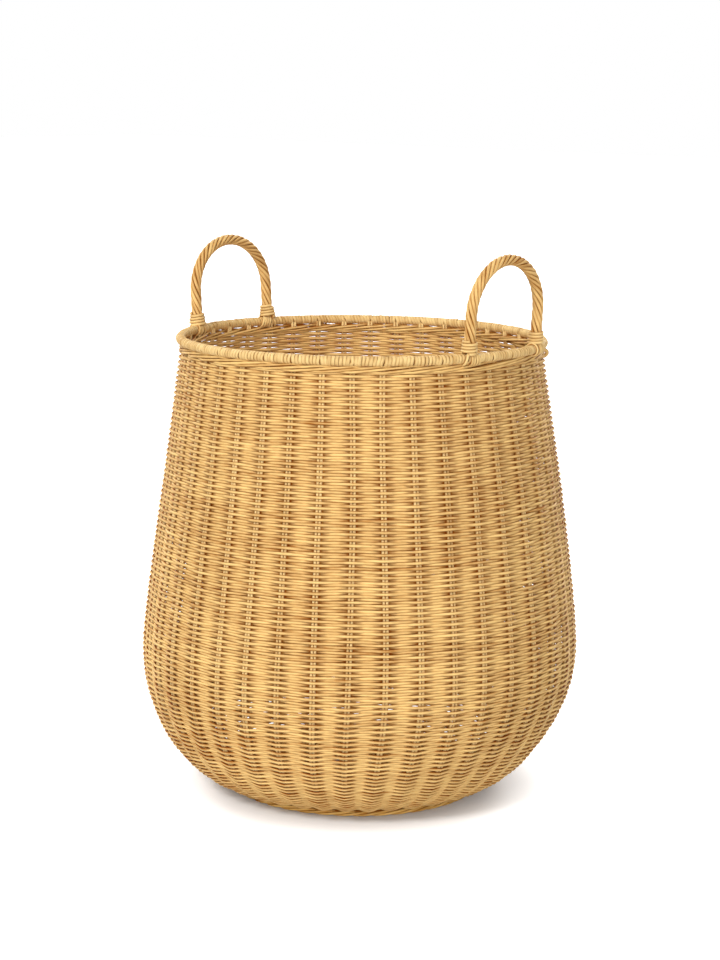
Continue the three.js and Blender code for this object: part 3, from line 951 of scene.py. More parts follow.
@dataclass
class Weave:
    """The two long weavers that climb round base and wall, cut into one piece for each course.

    Attributes:
        layout: Where the pairs stand and how the rows wander.
        weavers: How many weavers climb side by side.
        start, end_gap: Where the weave starts on the wall line, and how far below the line's end it stops.
        arm_rounds, base_rounds, courses: How many pieces lie over the bundles, on the base and on the wall.
        arms, arm_share: How many arms the bundles have, and how much of a sector one takes up.
        fan_radius, fan_blend: Where the weave goes over to single pairs, and how far that takes.
        row_pitch: The distance between two rows.
        rod: The depth of a weaver.
        press_share: How near it lies to a stake, as a share of their two halves.
        crossing_width, outer_width, inner_width: Its width between, outside and inside the pairs.
        samples: How many points it has from pair to pair.
        bend: How straight it runs between pairs.
        shade_power, crossing_painted_groove: How its painted shade and its painted groove shade fade from
            pair to pair.
        fibre_run: How far the fibres' start moves for each metre on the wall line.
        row_stray, reach_stray, growth, tone: How its level, reach, size and tone stray.
        seed: The seed of all that.
    """

    layout: Layout
    weavers: int = 2
    start: float = 51.5 * MM
    end_gap: float = 6.4 * MM
    arm_rounds: int = 2
    base_rounds: int = 2
    courses: int = 16
    arms: int = 8
    arm_share: float = 0.37
    fan_radius: float = 80 * MM
    fan_blend: float = 4 * MM
    row_pitch: float = 2.69 * MM
    rod: float = 2.7 * MM
    press_share: float = 0.92
    crossing_width: float = 2.95 * MM
    outer_width: float = 3.18 * MM
    inner_width: float = 3.95 * MM
    samples: int = 5
    bend: float = 2.1
    shade_power: float = 2.8
    crossing_painted_groove: float = 0.6
    fibre_run: float = 40.0
    row_stray: Stray = Stray(0.0, layers=((0.13 * MM, 5),))
    reach_stray: Stray = Stray(1.0, layers=((0.05, 5),))
    growth: Stray = Stray(1.0, layers=((0.035, 200), (0.02, 5)))
    tone: Stray = Stray(0.87, layers=((0.05, 225), (0.07, 4)))
    seed: int = 31

    @property
    def end(self) -> float:
        """The length along the wall at which the rows end, under the wale."""
        return self.layout.wall.end - self.end_gap

    @property
    def climb(self) -> float:
        """How far along the wall a weaver climbs from one pair to the next."""
        return self.weavers * self.row_pitch / self.layout.pairs

    def bands(self) -> list[tuple[str, str, float, float]]:
        """Lists the pieces.

        Returns:
            Each piece's name, the node it stands for, and where it starts and ends along the wall.
        """
        base = self.layout.wall.base_radius
        arm_edges = np.linspace(self.start, self.fan_radius, self.arm_rounds + 1)[:-1]
        base_edges = np.concatenate([arm_edges, np.linspace(self.fan_radius, base, self.base_rounds + 1)])
        wall_edges = np.linspace(base, self.end, self.courses + 1)
        made = []
        for i, (low, high) in enumerate(zip(base_edges, base_edges[1:])):
            made.append((f"base_weave_{i + 1}", f"base_round_{i + 1}", low, high))
        for i, (low, high) in enumerate(zip(wall_edges, wall_edges[1:])):
            made.append((f"wall_weave_{i + 1:02d}", f"woven_course_{i + 1:02d}", low, high))
        return made

    def _side(self, index: np.ndarray, length: np.ndarray, number: int) -> np.ndarray:
        """On which side of the stakes a weaver lies.

        Args:
            index: The pair's number, with a fraction between two pairs.
            length: The length along the wall line.
            number: The weaver's number.

        Returns:
            How far out it lies, from 1 outside a pair to -1 inside the next.
        """
        pair = np.cos(index * math.pi)
        pair = np.sign(pair) * np.abs(pair) ** self.bend
        sector = index / (self.layout.pairs / self.arms)
        arm = np.round(sector)
        reach = (0.5 - np.abs(sector - arm)) / (0.5 - self.arm_share)
        over_arm = np.cos(arm * math.pi) * np.sin(np.clip(reach, 0, 1) * math.pi / 2)
        share = ease((length - self.fan_radius + self.fan_blend / 2) / self.fan_blend)
        return (over_arm * (1 - share) + pair * share) * (-1) ** number

    def _cut(self, place: float, number: int) -> int:
        """Where a weaver is cut between two pieces: inside a pair, so that its ends are hidden.

        Args:
            place: The wanted length along the wall line.
            number: The weaver's number.

        Returns:
            The number of its nearest such point.
        """
        index = max(0, round((place - self.start) / self.climb))
        index += (index + 1 + number) % 2
        return index * self.samples

    def _weaver(self, number: int, rng: Random) -> dict[str, np.ndarray]:
        """The whole of one weaver.

        Args:
            number: Its number.
            rng: The seeded source.

        Returns:
            Its length along the wall line, its side, and what StrandMesh.add takes, at each point.
        """
        turns = (self.end - self.start) / (self.weavers * self.row_pitch)
        total = int(turns * self.layout.pairs) * self.samples
        spread = (self.layout.wall.rod / 2 + self.rod / 2) * self.press_share
        index = np.arange(total) / self.samples
        length = self.start + number * self.row_pitch + index * self.climb
        azimuth = self.layout.azimuth(index, length)
        rows = length + self.layout.row_shift(index, azimuth, length) + self.row_stray.draw(rng, total)
        reach = spread * self.reach_stray.draw(rng, total)
        side = self._side(index, length, number)
        line, facing = self.layout.wall.place(rows, azimuth, side * reach)
        growth = self.growth.draw(rng, total)
        width = np.interp(side, (-1, 0, 1), (self.inner_width, self.crossing_width, self.outer_width))
        shape = {"length": length, "side": side, "line": line, "facing": facing}
        shape |= {"half_width": width / 2 * growth, "half_depth": self.rod / 2 * growth}
        return shape | {"tone": self.tone.draw(rng, total)}

    def build(self, material: Material) -> None:
        """Makes a piece of each band of rows.

        Args:
            material: The weavers' material.
        """
        rng = np.random.default_rng(self.seed)
        weavers = [self._weaver(number, rng) for number in range(self.weavers)]
        for name, node, low, high in self.bands():
            strands = StrandMesh(name)
            for number, shape in enumerate(weavers):
                first, last = (self._cut(place, number) for place in (low, high))
                if high == self.end and number == 1:
                    last -= self.layout.pairs // 2 * self.samples
                last = min(last, len(shape["length"]) - 1)
                part = {key: values[first : last + 1] for key, values in shape.items()}
                side = part.pop("side")
                start = part.pop("length")[0] * self.fibre_run
                # Painted shade: where a weaver passes inside a pair its outer side is darkened, and its edges
                # are darkened most at the pairs.
                cover = np.sign(side) * np.abs(side) ** self.shade_power
                groove = self.crossing_painted_groove + (1 - self.crossing_painted_groove) * np.abs(side)
                strands.add(**part, start=start, cover=cover, groove=groove)
            strands.make(material, [node])


@dataclass
class Wale:
    """Five rods under the rim, each outside three pairs and inside two, so that they slant like a rope.

    Attributes:
        layout: Where the pairs stand.
        rods, front: How many rods there are, and how many pairs each passes outside.
        rod: The diameter of a rod.
        levels: How far below the wall's end a rod is at each pair that it passes, in their order.
        ripple, ripples: How far the ring rises and falls, and how often.
        samples: How many points a rod has from pair to pair.
        tails, tail_points: How many rods climb from the wale to the rim, and how many points each has.
        tail_from, tail_to, tail_end_step: The pairs that they run between, and how much sooner one ends.
        tail_below, tail_rise, tail_apart: Where they start, how far they climb, and how far apart they lie.
        tail_out, tail_bow: How far off the wall they lie, and how much further in their middle.
        tail_start_dip, tail_end_dip, tail_ends: How far their ends dip in, and how many ends fill a tail.
        bend_azimuth, bend_turn, bend_below, bend_height, bend_reach: Where the bent end is, and its size.
        bend_points, bend_rod_share, bend_tone: Its points, half width as a share of a rod, and tone.
        painted_groove_shade, painted_hidden_shade: The painted shade in the grooves and on the hidden side.
        tone, tone_wave, tone_waves, tail_tone: How the rods' and the tails' tones stray.
        seed: The seed of the tones.
    """

    layout: Layout
    rods: int = 5
    front: int = 3
    rod: float = 2.9 * MM
    levels: tuple[float, ...] = (6.6 * MM, 3.6 * MM, 0.6 * MM, 2.4 * MM, 5.5 * MM)
    ripple: float = 0.25 * MM
    ripples: int = 3
    samples: int = 5
    tails: int = 2
    tail_points: int = 40
    tail_from: float = -1.8
    tail_to: float = 2.0
    tail_end_step: float = 0.6
    tail_below: float = 7.4 * MM
    tail_rise: float = 6.5 * MM
    tail_apart: float = 0.5 * MM
    tail_out: float = 1.15
    tail_bow: float = 0.75
    tail_start_dip: float = 1.4
    tail_end_dip: float = 1.2
    tail_ends: int = 6
    bend_azimuth: float = math.radians(38.5)
    bend_turn: float = math.radians(2.4)
    bend_below: float = 7.6 * MM
    bend_height: float = 8.6 * MM
    bend_reach: float = 7.0 * MM
    bend_points: int = 14
    bend_rod_share: float = 0.68
    bend_tone: float = 0.95
    painted_groove_shade: float = 0.85
    painted_hidden_shade: float = 0.5
    tone: Stray = Stray(0.86, 0.08)
    tone_wave: float = 0.08
    tone_waves: int = 5
    tail_tone: Stray = Stray(0.88, layers=((0.06, 8),))
    seed: int = 41

    @property
    def reach(self) -> float:
        """How far a rod's middle lies from the middle of the stakes that it passes."""
        return self.layout.wall.rod / 2 + self.rod / 2

    def build(self, material: Material) -> None:
        """Makes the ring of wale rods and the tails that climb from it to the rim.

        Args:
            material: The rods' material.
        """
        rng = np.random.default_rng(self.seed)
        strands = StrandMesh("wale_rods", self.painted_groove_shade, self.painted_hidden_shade, sides=SMOOTH_SIDES)
        for number in range(self.rods):
            self._ring(strands, number, rng)
        for number in range(self.tails):
            self._tail(strands, number, rng)
        self._bent_end(strands)
        strands.make(material, ["top_wale_1", "top_wale_2"])

    def _ring(self, strands: StrandMesh, number: int, rng: Random) -> None:
        """Adds one rod that goes all the way round.

        Args:
            strands: The piece that it is added to.
            number: The rod's number.
            rng: The seeded source.
        """
        wall, pairs = self.layout.wall, self.layout.pairs
        index = np.arange(pairs * self.samples) / self.samples
        round_angle = index * TAU / pairs
        phase = (index - number) % self.rods
        inside = np.clip(np.minimum(phase - self.front + 1, self.rods - phase), 0, 1)
        side = 1 - 2 * ease(inside)
        length = wall.end - np.interp(phase, np.arange(self.rods), self.levels, period=self.rods)
        length = length + self.ripple * np.sin(round_angle * self.ripples + number)
        line, facing = wall.place(length, self.layout.azimuth(index, length), side * self.reach)
        tone = self.tone.draw(rng, len(index))
        tone = tone + self.tone_wave * np.sin(round_angle * self.tone_waves + rng.uniform(0, TAU))
        half = self.rod / 2
        start = rng.uniform(*FIBRE_STARTS)
        # Painted shade on the side of each rod that faces the stakes.
        strands.add(line, facing, half, half, tone, start=start, cover=side, closed=True)

    def _tail(self, strands: StrandMesh, number: int, rng: Random) -> None:
        """Adds one rod that leaves the wale and climbs to the rim.

        Args:
            strands: The piece that it is added to.
            number: The tail's number.
            rng: The seeded source.
        """
        wall, count, ends = self.layout.wall, self.tail_points, self.tail_ends
        index = np.linspace(self.tail_from - number, self.tail_to - self.tail_end_step * number, count)
        share = np.linspace(0, 1, count)
        length = wall.end - self.tail_below + ease(share) * self.tail_rise + number * self.tail_apart
        out = self.reach * (self.tail_out + self.tail_bow * np.sin(share * math.pi))
        out = out - self.reach * self.tail_start_dip * ease(1 - share * ends)
        out = out - self.reach * self.tail_end_dip * ease(share * ends - (ends - 1))
        line, facing = wall.place(length, index * TAU / self.layout.pairs, out)
        tone = self.tail_tone.draw(rng, count)
        strands.add(line, facing, self.rod / 2, self.rod / 2, tone, start=rng.uniform(*FIBRE_STARTS))

    def _bent_end(self, strands: StrandMesh) -> None:
        """Adds the end of a wale rod that bends out under the rim and back into the wall.

        Args:
            strands: The piece that it is added to.
        """
        share = np.linspace(0, 1, self.bend_points)
        azimuth = self.bend_azimuth + (share - 0.5) * self.bend_turn
        length = self.layout.wall.end - self.bend_below + np.cos(share * math.pi) * self.bend_height / 2
        line, facing = self.layout.wall.place(length, azimuth, self.bend_reach * np.sin(share * math.pi))
        half = self.rod * self.bend_rod_share
        strands.add(line, np.cross(facing, DOWN), half, half, self.bend_tone, cover=0.0)


@dataclass
class Rim:
    """A hoop at the top of the wall, bound turn by turn with a flat strand.

    Attributes:
        layout: Where the pairs stand.
        radius, level: The hoop's middle line.
        outer_diameter: The size of the bound rim.
        strand_depth, strand_width: The size of the binding strand.
        turns, steps: How many turns it takes, and how many points a turn has.
        pitch_spread: How unevenly the turns are spaced.
        seam_slant, slant: How far a turn leans round the basket, and how that strays.
        lift, width_stray, tone: How the strand's height, width and tone stray.
        notch, notch_width: How wide the slit at each pair of stakes is, and how far its sides reach.
        notch_level, notch_slope: How high up the rim a slit reaches, and how soon it opens.
        painted_groove_shade: The painted shade in the grooves between turns.
        hoop_points, hoop_sides, hoop_tone: The hoop's points, the corners of its section, and its dark tone,
            painted shade in the slits of the binding.
        hoop_press: How much of the strand's depth the hoop leaves free.
        seed: The seed of the strays.
    """

    layout: Layout
    radius: float = 185 * MM
    level: float = 466.4 * MM
    outer_diameter: float = 9.6 * MM
    strand_depth: float = 1.3 * MM
    strand_width: float = 3.62 * MM
    turns: int = 330
    steps: int = 14
    pitch_spread: float = 0.045
    seam_slant: float = 0.9 * MM
    slant: Stray = Stray(1.0, layers=((0.5, 126),))
    lift: Stray = Stray(0.0, layers=((0.12 * MM, 14),))
    width_stray: Stray = Stray(1.0, layers=((0.05, 14),))
    tone: Stray = Stray(0.84, layers=((0.08, 420), (0.1, 7)))
    notch: float = 1.3 * MM
    notch_width: float = 4.5 * MM
    notch_level: float = 0.85
    notch_slope: float = 1.3
    painted_groove_shade: float = 0.68
    hoop_points: int = 160
    hoop_sides: int = 10
    hoop_tone: float = 0.5
    hoop_press: float = 0.75
    seed: int = 51

    def point(self, azimuth: np.ndarray, around: np.ndarray, reach: float | np.ndarray) -> Placed:
        """Points about the hoop's middle line.

        Args:
            azimuth: Angles round the basket.
            around: Angles about the hoop's own line, from 0 outside through a quarter turn on top.
            reach: How far each point is from that line.

        Returns:
            The points, and the direction from the line to each.
        """
        turn = heading(azimuth)[..., :2]
        direction = np.concatenate([turn * np.cos(around)[..., None], np.sin(around)[..., None]], axis=-1)
        centre = np.concatenate([turn * self.radius, np.full(turn.shape[:-1] + (1,), self.level)], axis=-1)
        return centre + direction * np.asarray(reach)[..., None], direction

    def _turn_places(self, rng: Random) -> np.ndarray:
        """The angle round the basket at which each turn of the binding starts.

        Args:
            rng: The seeded source.

        Returns:
            The angles, with the full round at their end.
        """
        spacing = 1 + self.pitch_spread * rng.normal(size=self.turns)
        places = np.concatenate([[0.0], np.cumsum(spacing)])
        return places / places[-1] * TAU

    def _notch_shift(self, azimuth: np.ndarray, around: np.ndarray) -> np.ndarray:
        """How far the low part of each turn is pushed aside, so that a slit opens at each pair of stakes.

        Args:
            azimuth: Angles round the basket.
            around: Angles about the hoop's own line.

        Returns:
            The change of each angle round the basket.
        """
        spread = TAU / self.layout.pairs
        beside = (azimuth / spread + 0.5) % 1 - 0.5
        low = ease(self.notch_level - np.sin(around) * self.notch_slope)
        near = np.exp(-((beside * spread * self.radius) / self.notch_width) ** 2)
        return np.sign(beside) * near * low * self.notch / 2 / self.radius

    def build(self, binding: Material, hoop: Material) -> None:
        """Makes the hoop and its binding.

        Args:
            binding: The binding's material.
            hoop: The hoop's material.
        """
        rng = np.random.default_rng(self.seed)
        core = StrandMesh("rim_core_rod", sides=self.hoop_sides)
        azimuth = np.arange(self.hoop_points) * TAU / self.hoop_points
        line, facing = self.point(azimuth, 0.0 * azimuth, 0.0 * azimuth)
        half = self.outer_diameter / 2 - self.strand_depth * self.hoop_press
        core.add(line, facing, half, half, self.hoop_tone, closed=True)
        core.make(hoop, ["rim_hoop"])

        count = self.turns * self.steps
        turn = np.arange(count) / self.steps
        around = math.pi / 2 - (turn % 1) * TAU
        azimuth = np.interp(turn, np.arange(self.turns + 1), self._turn_places(rng))
        azimuth = azimuth + self.slant.draw(rng, count) * self.seam_slant / self.radius * np.sin(around)
        azimuth = azimuth + self._notch_shift(azimuth, around)
        reach = self.outer_diameter / 2 - self.strand_depth / 2 + self.lift.draw(rng, count)
        line, facing = self.point(azimuth, around, reach)
        half_width = self.strand_width / 2 * self.width_stray.draw(rng, count)
        wraps = StrandMesh("rim_wraps", self.painted_groove_shade, sides=SMOOTH_SIDES, section=Section.STRIP)
        wraps.add(line, facing, half_width, self.strand_depth / 2, self.tone.draw(rng, count), closed=True)
        wraps.make(binding, ["rim_binding"])


@dataclass
class Foot:
    """The ring that the basket stands on: three rods twisted together under the edge of the base.

    Attributes:
        wall: The middle line of base and wall.
        radius: The ring's radius.
        rods, rod: How many rods are twisted, and their diameter.
        orbit, flatness: How far a rod's middle is from the ring's line, and how much less upwards.
        twists, steps: Turns of the twist, and points of a rod.
        core_inset, core_diameter, core_lift, core_tone: The rod inside the ring, its place, and its dark
        tone, painted shade in the gaps of the twist.
        painted_groove_shade: The painted shade in the grooves.
        tone, tone_wave, tone_waves: How the rods' tones stray.
        seed: The seed of the tones.
    """

    wall: WallLine
    radius: float = 130 * MM
    rods: int = 3
    rod: float = 2.8 * MM
    orbit: float = 1.7 * MM
    flatness: float = 0.72
    twists: int = 14
    steps: int = 420
    core_inset: float = 2.6 * MM
    core_diameter: float = 5.4 * MM
    core_lift: float = 0.4 * MM
    core_tone: float = 0.2
    painted_groove_shade: float = 0.4
    tone: Stray = Stray(0.9, 0.08)
    tone_wave: float = 0.06
    tone_waves: int = 9
    seed: int = 61

    def build(self, material: Material) -> None:
        """Makes the ring.

        Args:
            material: The rods' material.
        """
        rng = np.random.default_rng(self.seed)
        strands = StrandMesh("foot_twist", self.painted_groove_shade)
        azimuth = np.arange(self.steps) * TAU / self.steps
        turn = heading(azimuth)
        level = self.orbit * self.flatness + self.rod / 2
        for number in range(self.rods):
            angle = azimuth * self.twists + number * TAU / self.rods
            line = turn * (self.radius + self.orbit * np.cos(angle))[:, None]
            line[:, 2] = level + self.orbit * self.flatness * np.sin(angle)
            facing = turn * np.cos(angle)[:, None]
            facing[:, 2] = np.sin(angle)
            tone = self.tone.draw(rng, self.steps)
            tone = tone + self.tone_wave * np.sin(azimuth * self.tone_waves + number)
            half, start = self.rod / 2, rng.uniform(*FIBRE_STARTS)
            strands.add(self.wall.swayed(line), facing, half, half, tone, start=start, closed=True)
        half = self.core_diameter / 2
        core = turn * (self.radius - self.core_inset)
        core[:, 2] = half + self.core_lift
        strands.add(self.wall.swayed(core), turn, half, half, self.core_tone, closed=True)
        strands.make(material, ["foot_border"])


@dataclass(frozen=True)
class Fan:
    """How the strands of one lashing lie, as distances beside the middle of their foot.

    Attributes:
        top: Where each strand lies on top of the rim.
        low: Where each lies on the outer side of the rim.
        looped: Whether the first strand also goes over the top of the rim, beside the foot.
    """

    top: tuple[float, ...] = (-1.6 * MM, -1.0 * MM, 1.2 * MM, 3.4 * MM, 5.4 * MM)
    low: tuple[float, ...] = (-7.4 * MM, 1.0 * MM, 4.0 * MM, 7.0 * MM, 10.2 * MM)
    looped: bool = False


@dataclass
class Handle:
    """One arched handle: a rope of laid rods, a winding round each foot, and the strands that lash it down.

    Attributes:
        rim: The rim that it stands on.
        end: Which handle it is.
        lean, rise: How far it leans outwards, and how high its middle line stands over the hoop's.
        foot_azimuth, arch_height, foot_gap: Half its spread round the rim, its arch, and its gap over it.
        rods, rod: How many rods are laid into the rope, and their depth.
        leg_diameter, top_diameter, leg_lay, top_lay: The rope's size and lay, below and on top.
        top_slope: How soon the one goes over to the other.
        leg_points, arch_points, rope_points: How many points its middle line is worked out with.
        rod_overlap, core_share, core_tone: How wide the rods are, the size of the core, and its dark tone,
            painted shade between the rods.
        rope_painted_groove_shade, rope_tone, rope_growth, rope_angle: The rods' painted groove shade, and how
        they stray.
        winding_rod, winding_turns, winding_steps, winding_pitch: The strand round a foot and its turns.
        winding_foot_reach, winding_top_reach, winding_sink: Its reach below and above, and its start.
        winding_width_share, winding_depth_share: How flat its strand is pressed.
        winding_painted_groove_shade, winding_stray, winding_tone: Its painted groove shade, and how it
        strays.
        lash_rod, lash_flatness, lash_points, lash_tuck: The lashing strands, and how far they tuck under.
        lash_power: How soon they spread from their tops to their low places.
        lash_painted_groove_shade, lash_stray, lash_tone, loop_tone: Their painted groove shade, and how they
        stray.
        fans: How the strands lie at each foot.
        seed: The seed of the strays.
    """

    rim: Rim
    end: End
    lean: float
    rise: float
    foot_azimuth: float = math.radians(17.5)
    arch_height: float = 52 * MM
    foot_gap: float = 0.5 * MM
    rods: int = 7
    rod: float = 2.8 * MM
    leg_diameter: float = 11.4 * MM
    top_diameter: float = 11.3 * MM
    leg_lay: float = math.radians(28)
    top_lay: float = math.radians(33)
    top_slope: float = 1.15
    leg_points: int = 40
    arch_points: int = 200
    rope_points: int = 150
    rod_overlap: float = 1.04
    core_share: float = 0.55
    core_tone: float = 0.25
    rope_painted_groove_shade: float = 0.45
    rope_tone: Stray = Stray(0.84, 0.09, ((0.08, 10),))
    rope_growth: Stray = Stray(1.0, layers=((0.03, 15),))
    rope_angle: Stray = Stray(0.0, layers=((0.05, 12),))
    winding_rod: float = 2.9 * MM
    winding_turns: int = 4
    winding_steps: int = 24
    winding_pitch: float = 3.0 * MM
    winding_foot_reach: float = 7.15 * MM
    winding_top_reach: float = 6.2 * MM
    winding_sink: float = 0.3 * MM
    winding_width_share: float = 1.05
    winding_depth_share: float = 0.9
    winding_painted_groove_shade: float = 0.5
    winding_stray: Stray = Stray(0.0, layers=((0.1 * MM, 12),))
    winding_tone: Stray = Stray(0.88, layers=((0.06, 8),))
    lash_rod: float = 2.7 * MM
    lash_flatness: float = 0.85
    lash_points: int = 26
    lash_tuck: float = math.radians(18)
    lash_power: float = 0.8
    lash_painted_groove_shade: float = 0.4
    lash_stray: Stray = Stray(0.0, layers=((0.25 * MM, 8),))
    lash_tone: Stray = Stray(0.88, 0.06, ((0.04, 6),))
    loop_tone: Stray = Stray(1.1, 0.06, ((0.04, 6),))
    fans: dict[Side, Fan] = field(default_factory=lambda: {side: Fan() for side in Side})
    seed: int = 71

    @property
    def half_span(self) -> float:
        """Half the distance between the feet."""
        return self.rim.radius * math.sin(self.foot_azimuth)

    @property
    def bottom(self) -> float:
        """The height of the rope's lowest point over the hoop's middle line."""
        return self.rim.outer_diameter / 2 + self.foot_gap

    def _named(self, start: str, side: Side | None = None) -> str:
        """A name with the handle's end, and its side, after it."""
        return "_".join([start] + [option.name.lower() for option in (self.end, side) if option])

    def _stand(self, points: np.ndarray) -> np.ndarray:
        """Moves points from the handle's own upright frame to its place on the rim.

        Args:
            points: Points, with X outwards, Y to the right foot and Z up from the hoop's middle line.

        Returns:
            The points in the shared frame.
        """
        turned = points.copy()
        turned[:, 0] = points[:, 0] * math.cos(self.lean) + points[:, 2] * math.sin(self.lean)
        turned[:, 2] = points[:, 2] * math.cos(self.lean) - points[:, 0] * math.sin(self.lean)
        turned[:, 0] += self.rim.radius * math.cos(self.foot_azimuth)
        turned[:, 2] += self.rim.level
        turned[:, :2] *= self.end.value
        return turned

    def _add(
        self, strands: StrandMesh, line: np.ndarray, facing: np.ndarray, *sizes: object, **look: object
    ) -> None:
        """Adds a strand of the handle's own frame.

        Args:
            strands: The piece that it is added to.
            line: Its middle line in that frame.
            facing: Its facing in that frame.
            sizes: The half width, half depth and tone, as StrandMesh.add takes them.
            look: What else StrandMesh.add takes.
        """
        strands.add(self._stand(line), self._stand(line + facing) - self._stand(line), *sizes, **look)

    def _line(self) -> Placed:
        """The rope's middle line.

        Returns:
            Its points in the handle's own frame, and the distance of each along it.
        """
        half, spring = self.half_span, self.rise - self.arch_height
        leg = np.linspace(self.bottom, spring, self.leg_points, endpoint=False)
        angle = np.linspace(0, math.pi, self.arch_points)
        arch = np.stack([-half * np.cos(angle), spring + self.arch_height * np.sin(angle)], axis=1)
        up = np.stack([np.full(self.leg_points, -half), leg], axis=1)
        flat = np.concatenate([up, arch, up[::-1] * (-1, 1)])
        lengths = travelled(flat)
        distance = np.linspace(0, lengths[-1], self.rope_points)
        points = np.stack([np.interp(distance, lengths, flat[:, i]) for i in (0, 1)], axis=1)
        return np.concatenate([np.zeros((self.rope_points, 1)), points], axis=1), distance

    def _rope(self, material: Material, rng: Random) -> None:
        """Makes the rope: rods laid to the left round a core.

        Args:
            material: The rope's material.
            rng: The seeded source.
        """
        count = self.rope_points
        line, distance = self._line()
        first = np.tile([1.0, 0.0, 0.0], (count, 1))
        second = np.cross(unit(np.gradient(line, axis=0)), first)
        height = ease(1 - np.abs(distance / distance[-1] * 2 - 1) * self.top_slope)
        lay = self.leg_lay + (self.top_lay - self.leg_lay) * height
        outer = (self.leg_diameter + (self.top_diameter - self.leg_diameter) * height) / 2
        rate = np.tan(lay) / outer
        depth = self.rod / 2 * (outer / outer[0])
        reach = outer - depth
        width = reach * math.sin(math.pi / self.rods) * np.cos(np.arctan(reach * rate)) * self.rod_overlap
        turn = np.concatenate([[0.0], np.cumsum(rate[1:] * np.diff(distance))])
        strands = StrandMesh(self._named("rope_rods"), self.rope_painted_groove_shade, sides=SMOOTH_SIDES)
        for number in range(self.rods):
            angle = number * TAU / self.rods - turn + self.rope_angle.draw(rng, count)
            facing = first * np.cos(angle)[:, None] + second * np.sin(angle)[:, None]
            tone = self.rope_tone.draw(rng, count)
            growth = self.rope_growth.draw(rng, count)
            rod, start = line + facing * reach[:, None], rng.uniform(*FIBRE_STARTS)
            self._add(strands, rod, facing, width * growth, depth * growth, tone, start=start)
        core = outer * self.core_share
        self._add(strands, line, first, core, core, self.core_tone)
        strands.make(material, [self._named("handle_rope")])

    def _winding(self, material: Material, side: Side, rng: Random) -> None:
        """Makes the strand wound round one foot, upwards, with its lowest turn the widest.

        Args:
            material: The strand's material.
            side: Which foot it is.
            rng: The seeded source.
        """
        count = self.winding_turns * self.winding_steps + 1
        share = np.linspace(0, 1, count)
        facing = heading(share * self.winding_turns * TAU + rng.uniform(0, TAU))
        reach = self.winding_top_reach + (self.winding_foot_reach - self.winding_top_reach) * (1 - share)
        line = facing * (reach + self.winding_stray.draw(rng, count))[:, None]
        line[:, 1] += side.value * self.half_span
        line[:, 2] = self.bottom + share * self.winding_turns * self.winding_pitch - self.winding_sink
        half = self.winding_rod / 2
        sizes = (half * self.winding_width_share, half * self.winding_depth_share)
        tone = self.winding_tone.draw(rng, count)
        strands = StrandMesh(self._named("ferrule", side), self.winding_painted_groove_shade, sides=SMOOTH_SIDES)
        self._add(strands, line, facing, *sizes, tone, start=rng.uniform(*FIBRE_STARTS))
        strands.make(material, [self._named("handle_winding", side)])

    def _lashing(self, material: Material, side: Side, rng: Random) -> None:
        """Makes the strands that fan over the rim under one foot and tuck under it, on both sides.

        Args:
            material: The strands' material.
            side: Which foot it is.
            rng: The seeded source.
        """
        strands = StrandMesh(self._named("lashing_strands", side), self.lash_painted_groove_shade, sides=SMOOTH_SIDES)
        foot = side.value * self.foot_azimuth + (math.pi if self.end is End.BACK else 0.0)
        share = np.linspace(0, 1, self.lash_points)
        half, flat = self.lash_rod / 2, self.lash_rod / 2 * self.lash_flatness
        fan = self.fans[side]
        for number, (top, low) in enumerate(zip(fan.top, fan.low)):
            whole = fan.looped and number == 0
            tucked = 0.0 if whole else self.lash_tuck
            around = math.pi / 2 - tucked - (TAU - 2 * tucked) * share
            sideways = top + (low - top) * np.sin(share * math.pi) ** self.lash_power
            sideways = sideways + self.lash_stray.draw(rng, self.lash_points)
            reach = self.rim.outer_diameter / 2 + flat
            line, facing = self.rim.point(foot + sideways / self.rim.radius, around, reach)
            tone = (self.loop_tone if whole else self.lash_tone).draw(rng, self.lash_points)
            strands.add(line, facing, half, flat, tone, start=rng.uniform(*FIBRE_STARTS))
        strands.make(material, [self._named("handle_lashing", side)])

    def build(self, rope: Material, winding: Material) -> None:
        """Makes the handle's rope, windings and lashings.

        Args:
            rope: The rope's material.
            winding: The material of the windings and lashings.
        """
        rng = np.random.default_rng(self.seed + self.end.value)
        self._rope(rope, rng)
        for side in Side:
            self._winding(winding, side, rng)
            self._lashing(winding, side, rng)


@dataclass(frozen=True)
class Lamp:
    """A soft distant lamp that faces the basket.

    Attributes:
        name: Its name.
        turn: Its angle to the right of the camera, in degrees.
        elevation: Its angle above the floor, in degrees.
        spread: How wide it looks from the basket, in degrees.
        strength: Its strength.
        distance: How far from the middle of the floor it stands.
    """

    name: str
    turn: float
    elevation: float
    spread: float
    strength: float
    distance: float = 3.0

    def build(self, camera_azimuth: float) -> None:
        """Adds the lamp.

        Args:
            camera_azimuth: The camera's angle round the basket.
        """
        light = bpy.data.lights.new(self.name, "SUN")
        light.angle = math.radians(self.spread)
        light.energy = self.strength
        lamp = add_object(self.name, light)
        angle = camera_azimuth + math.radians(self.turn)
        up, flat = math.sin(math.radians(self.elevation)), math.cos(math.radians(self.elevation))
        lamp.location = Vector((flat * math.sin(angle), -flat * math.cos(angle), up)) * self.distance
        lamp.rotation_mode = "QUATERNION"
        lamp.rotation_quaternion = (-lamp.location).to_track_quat("-Z", "Y")


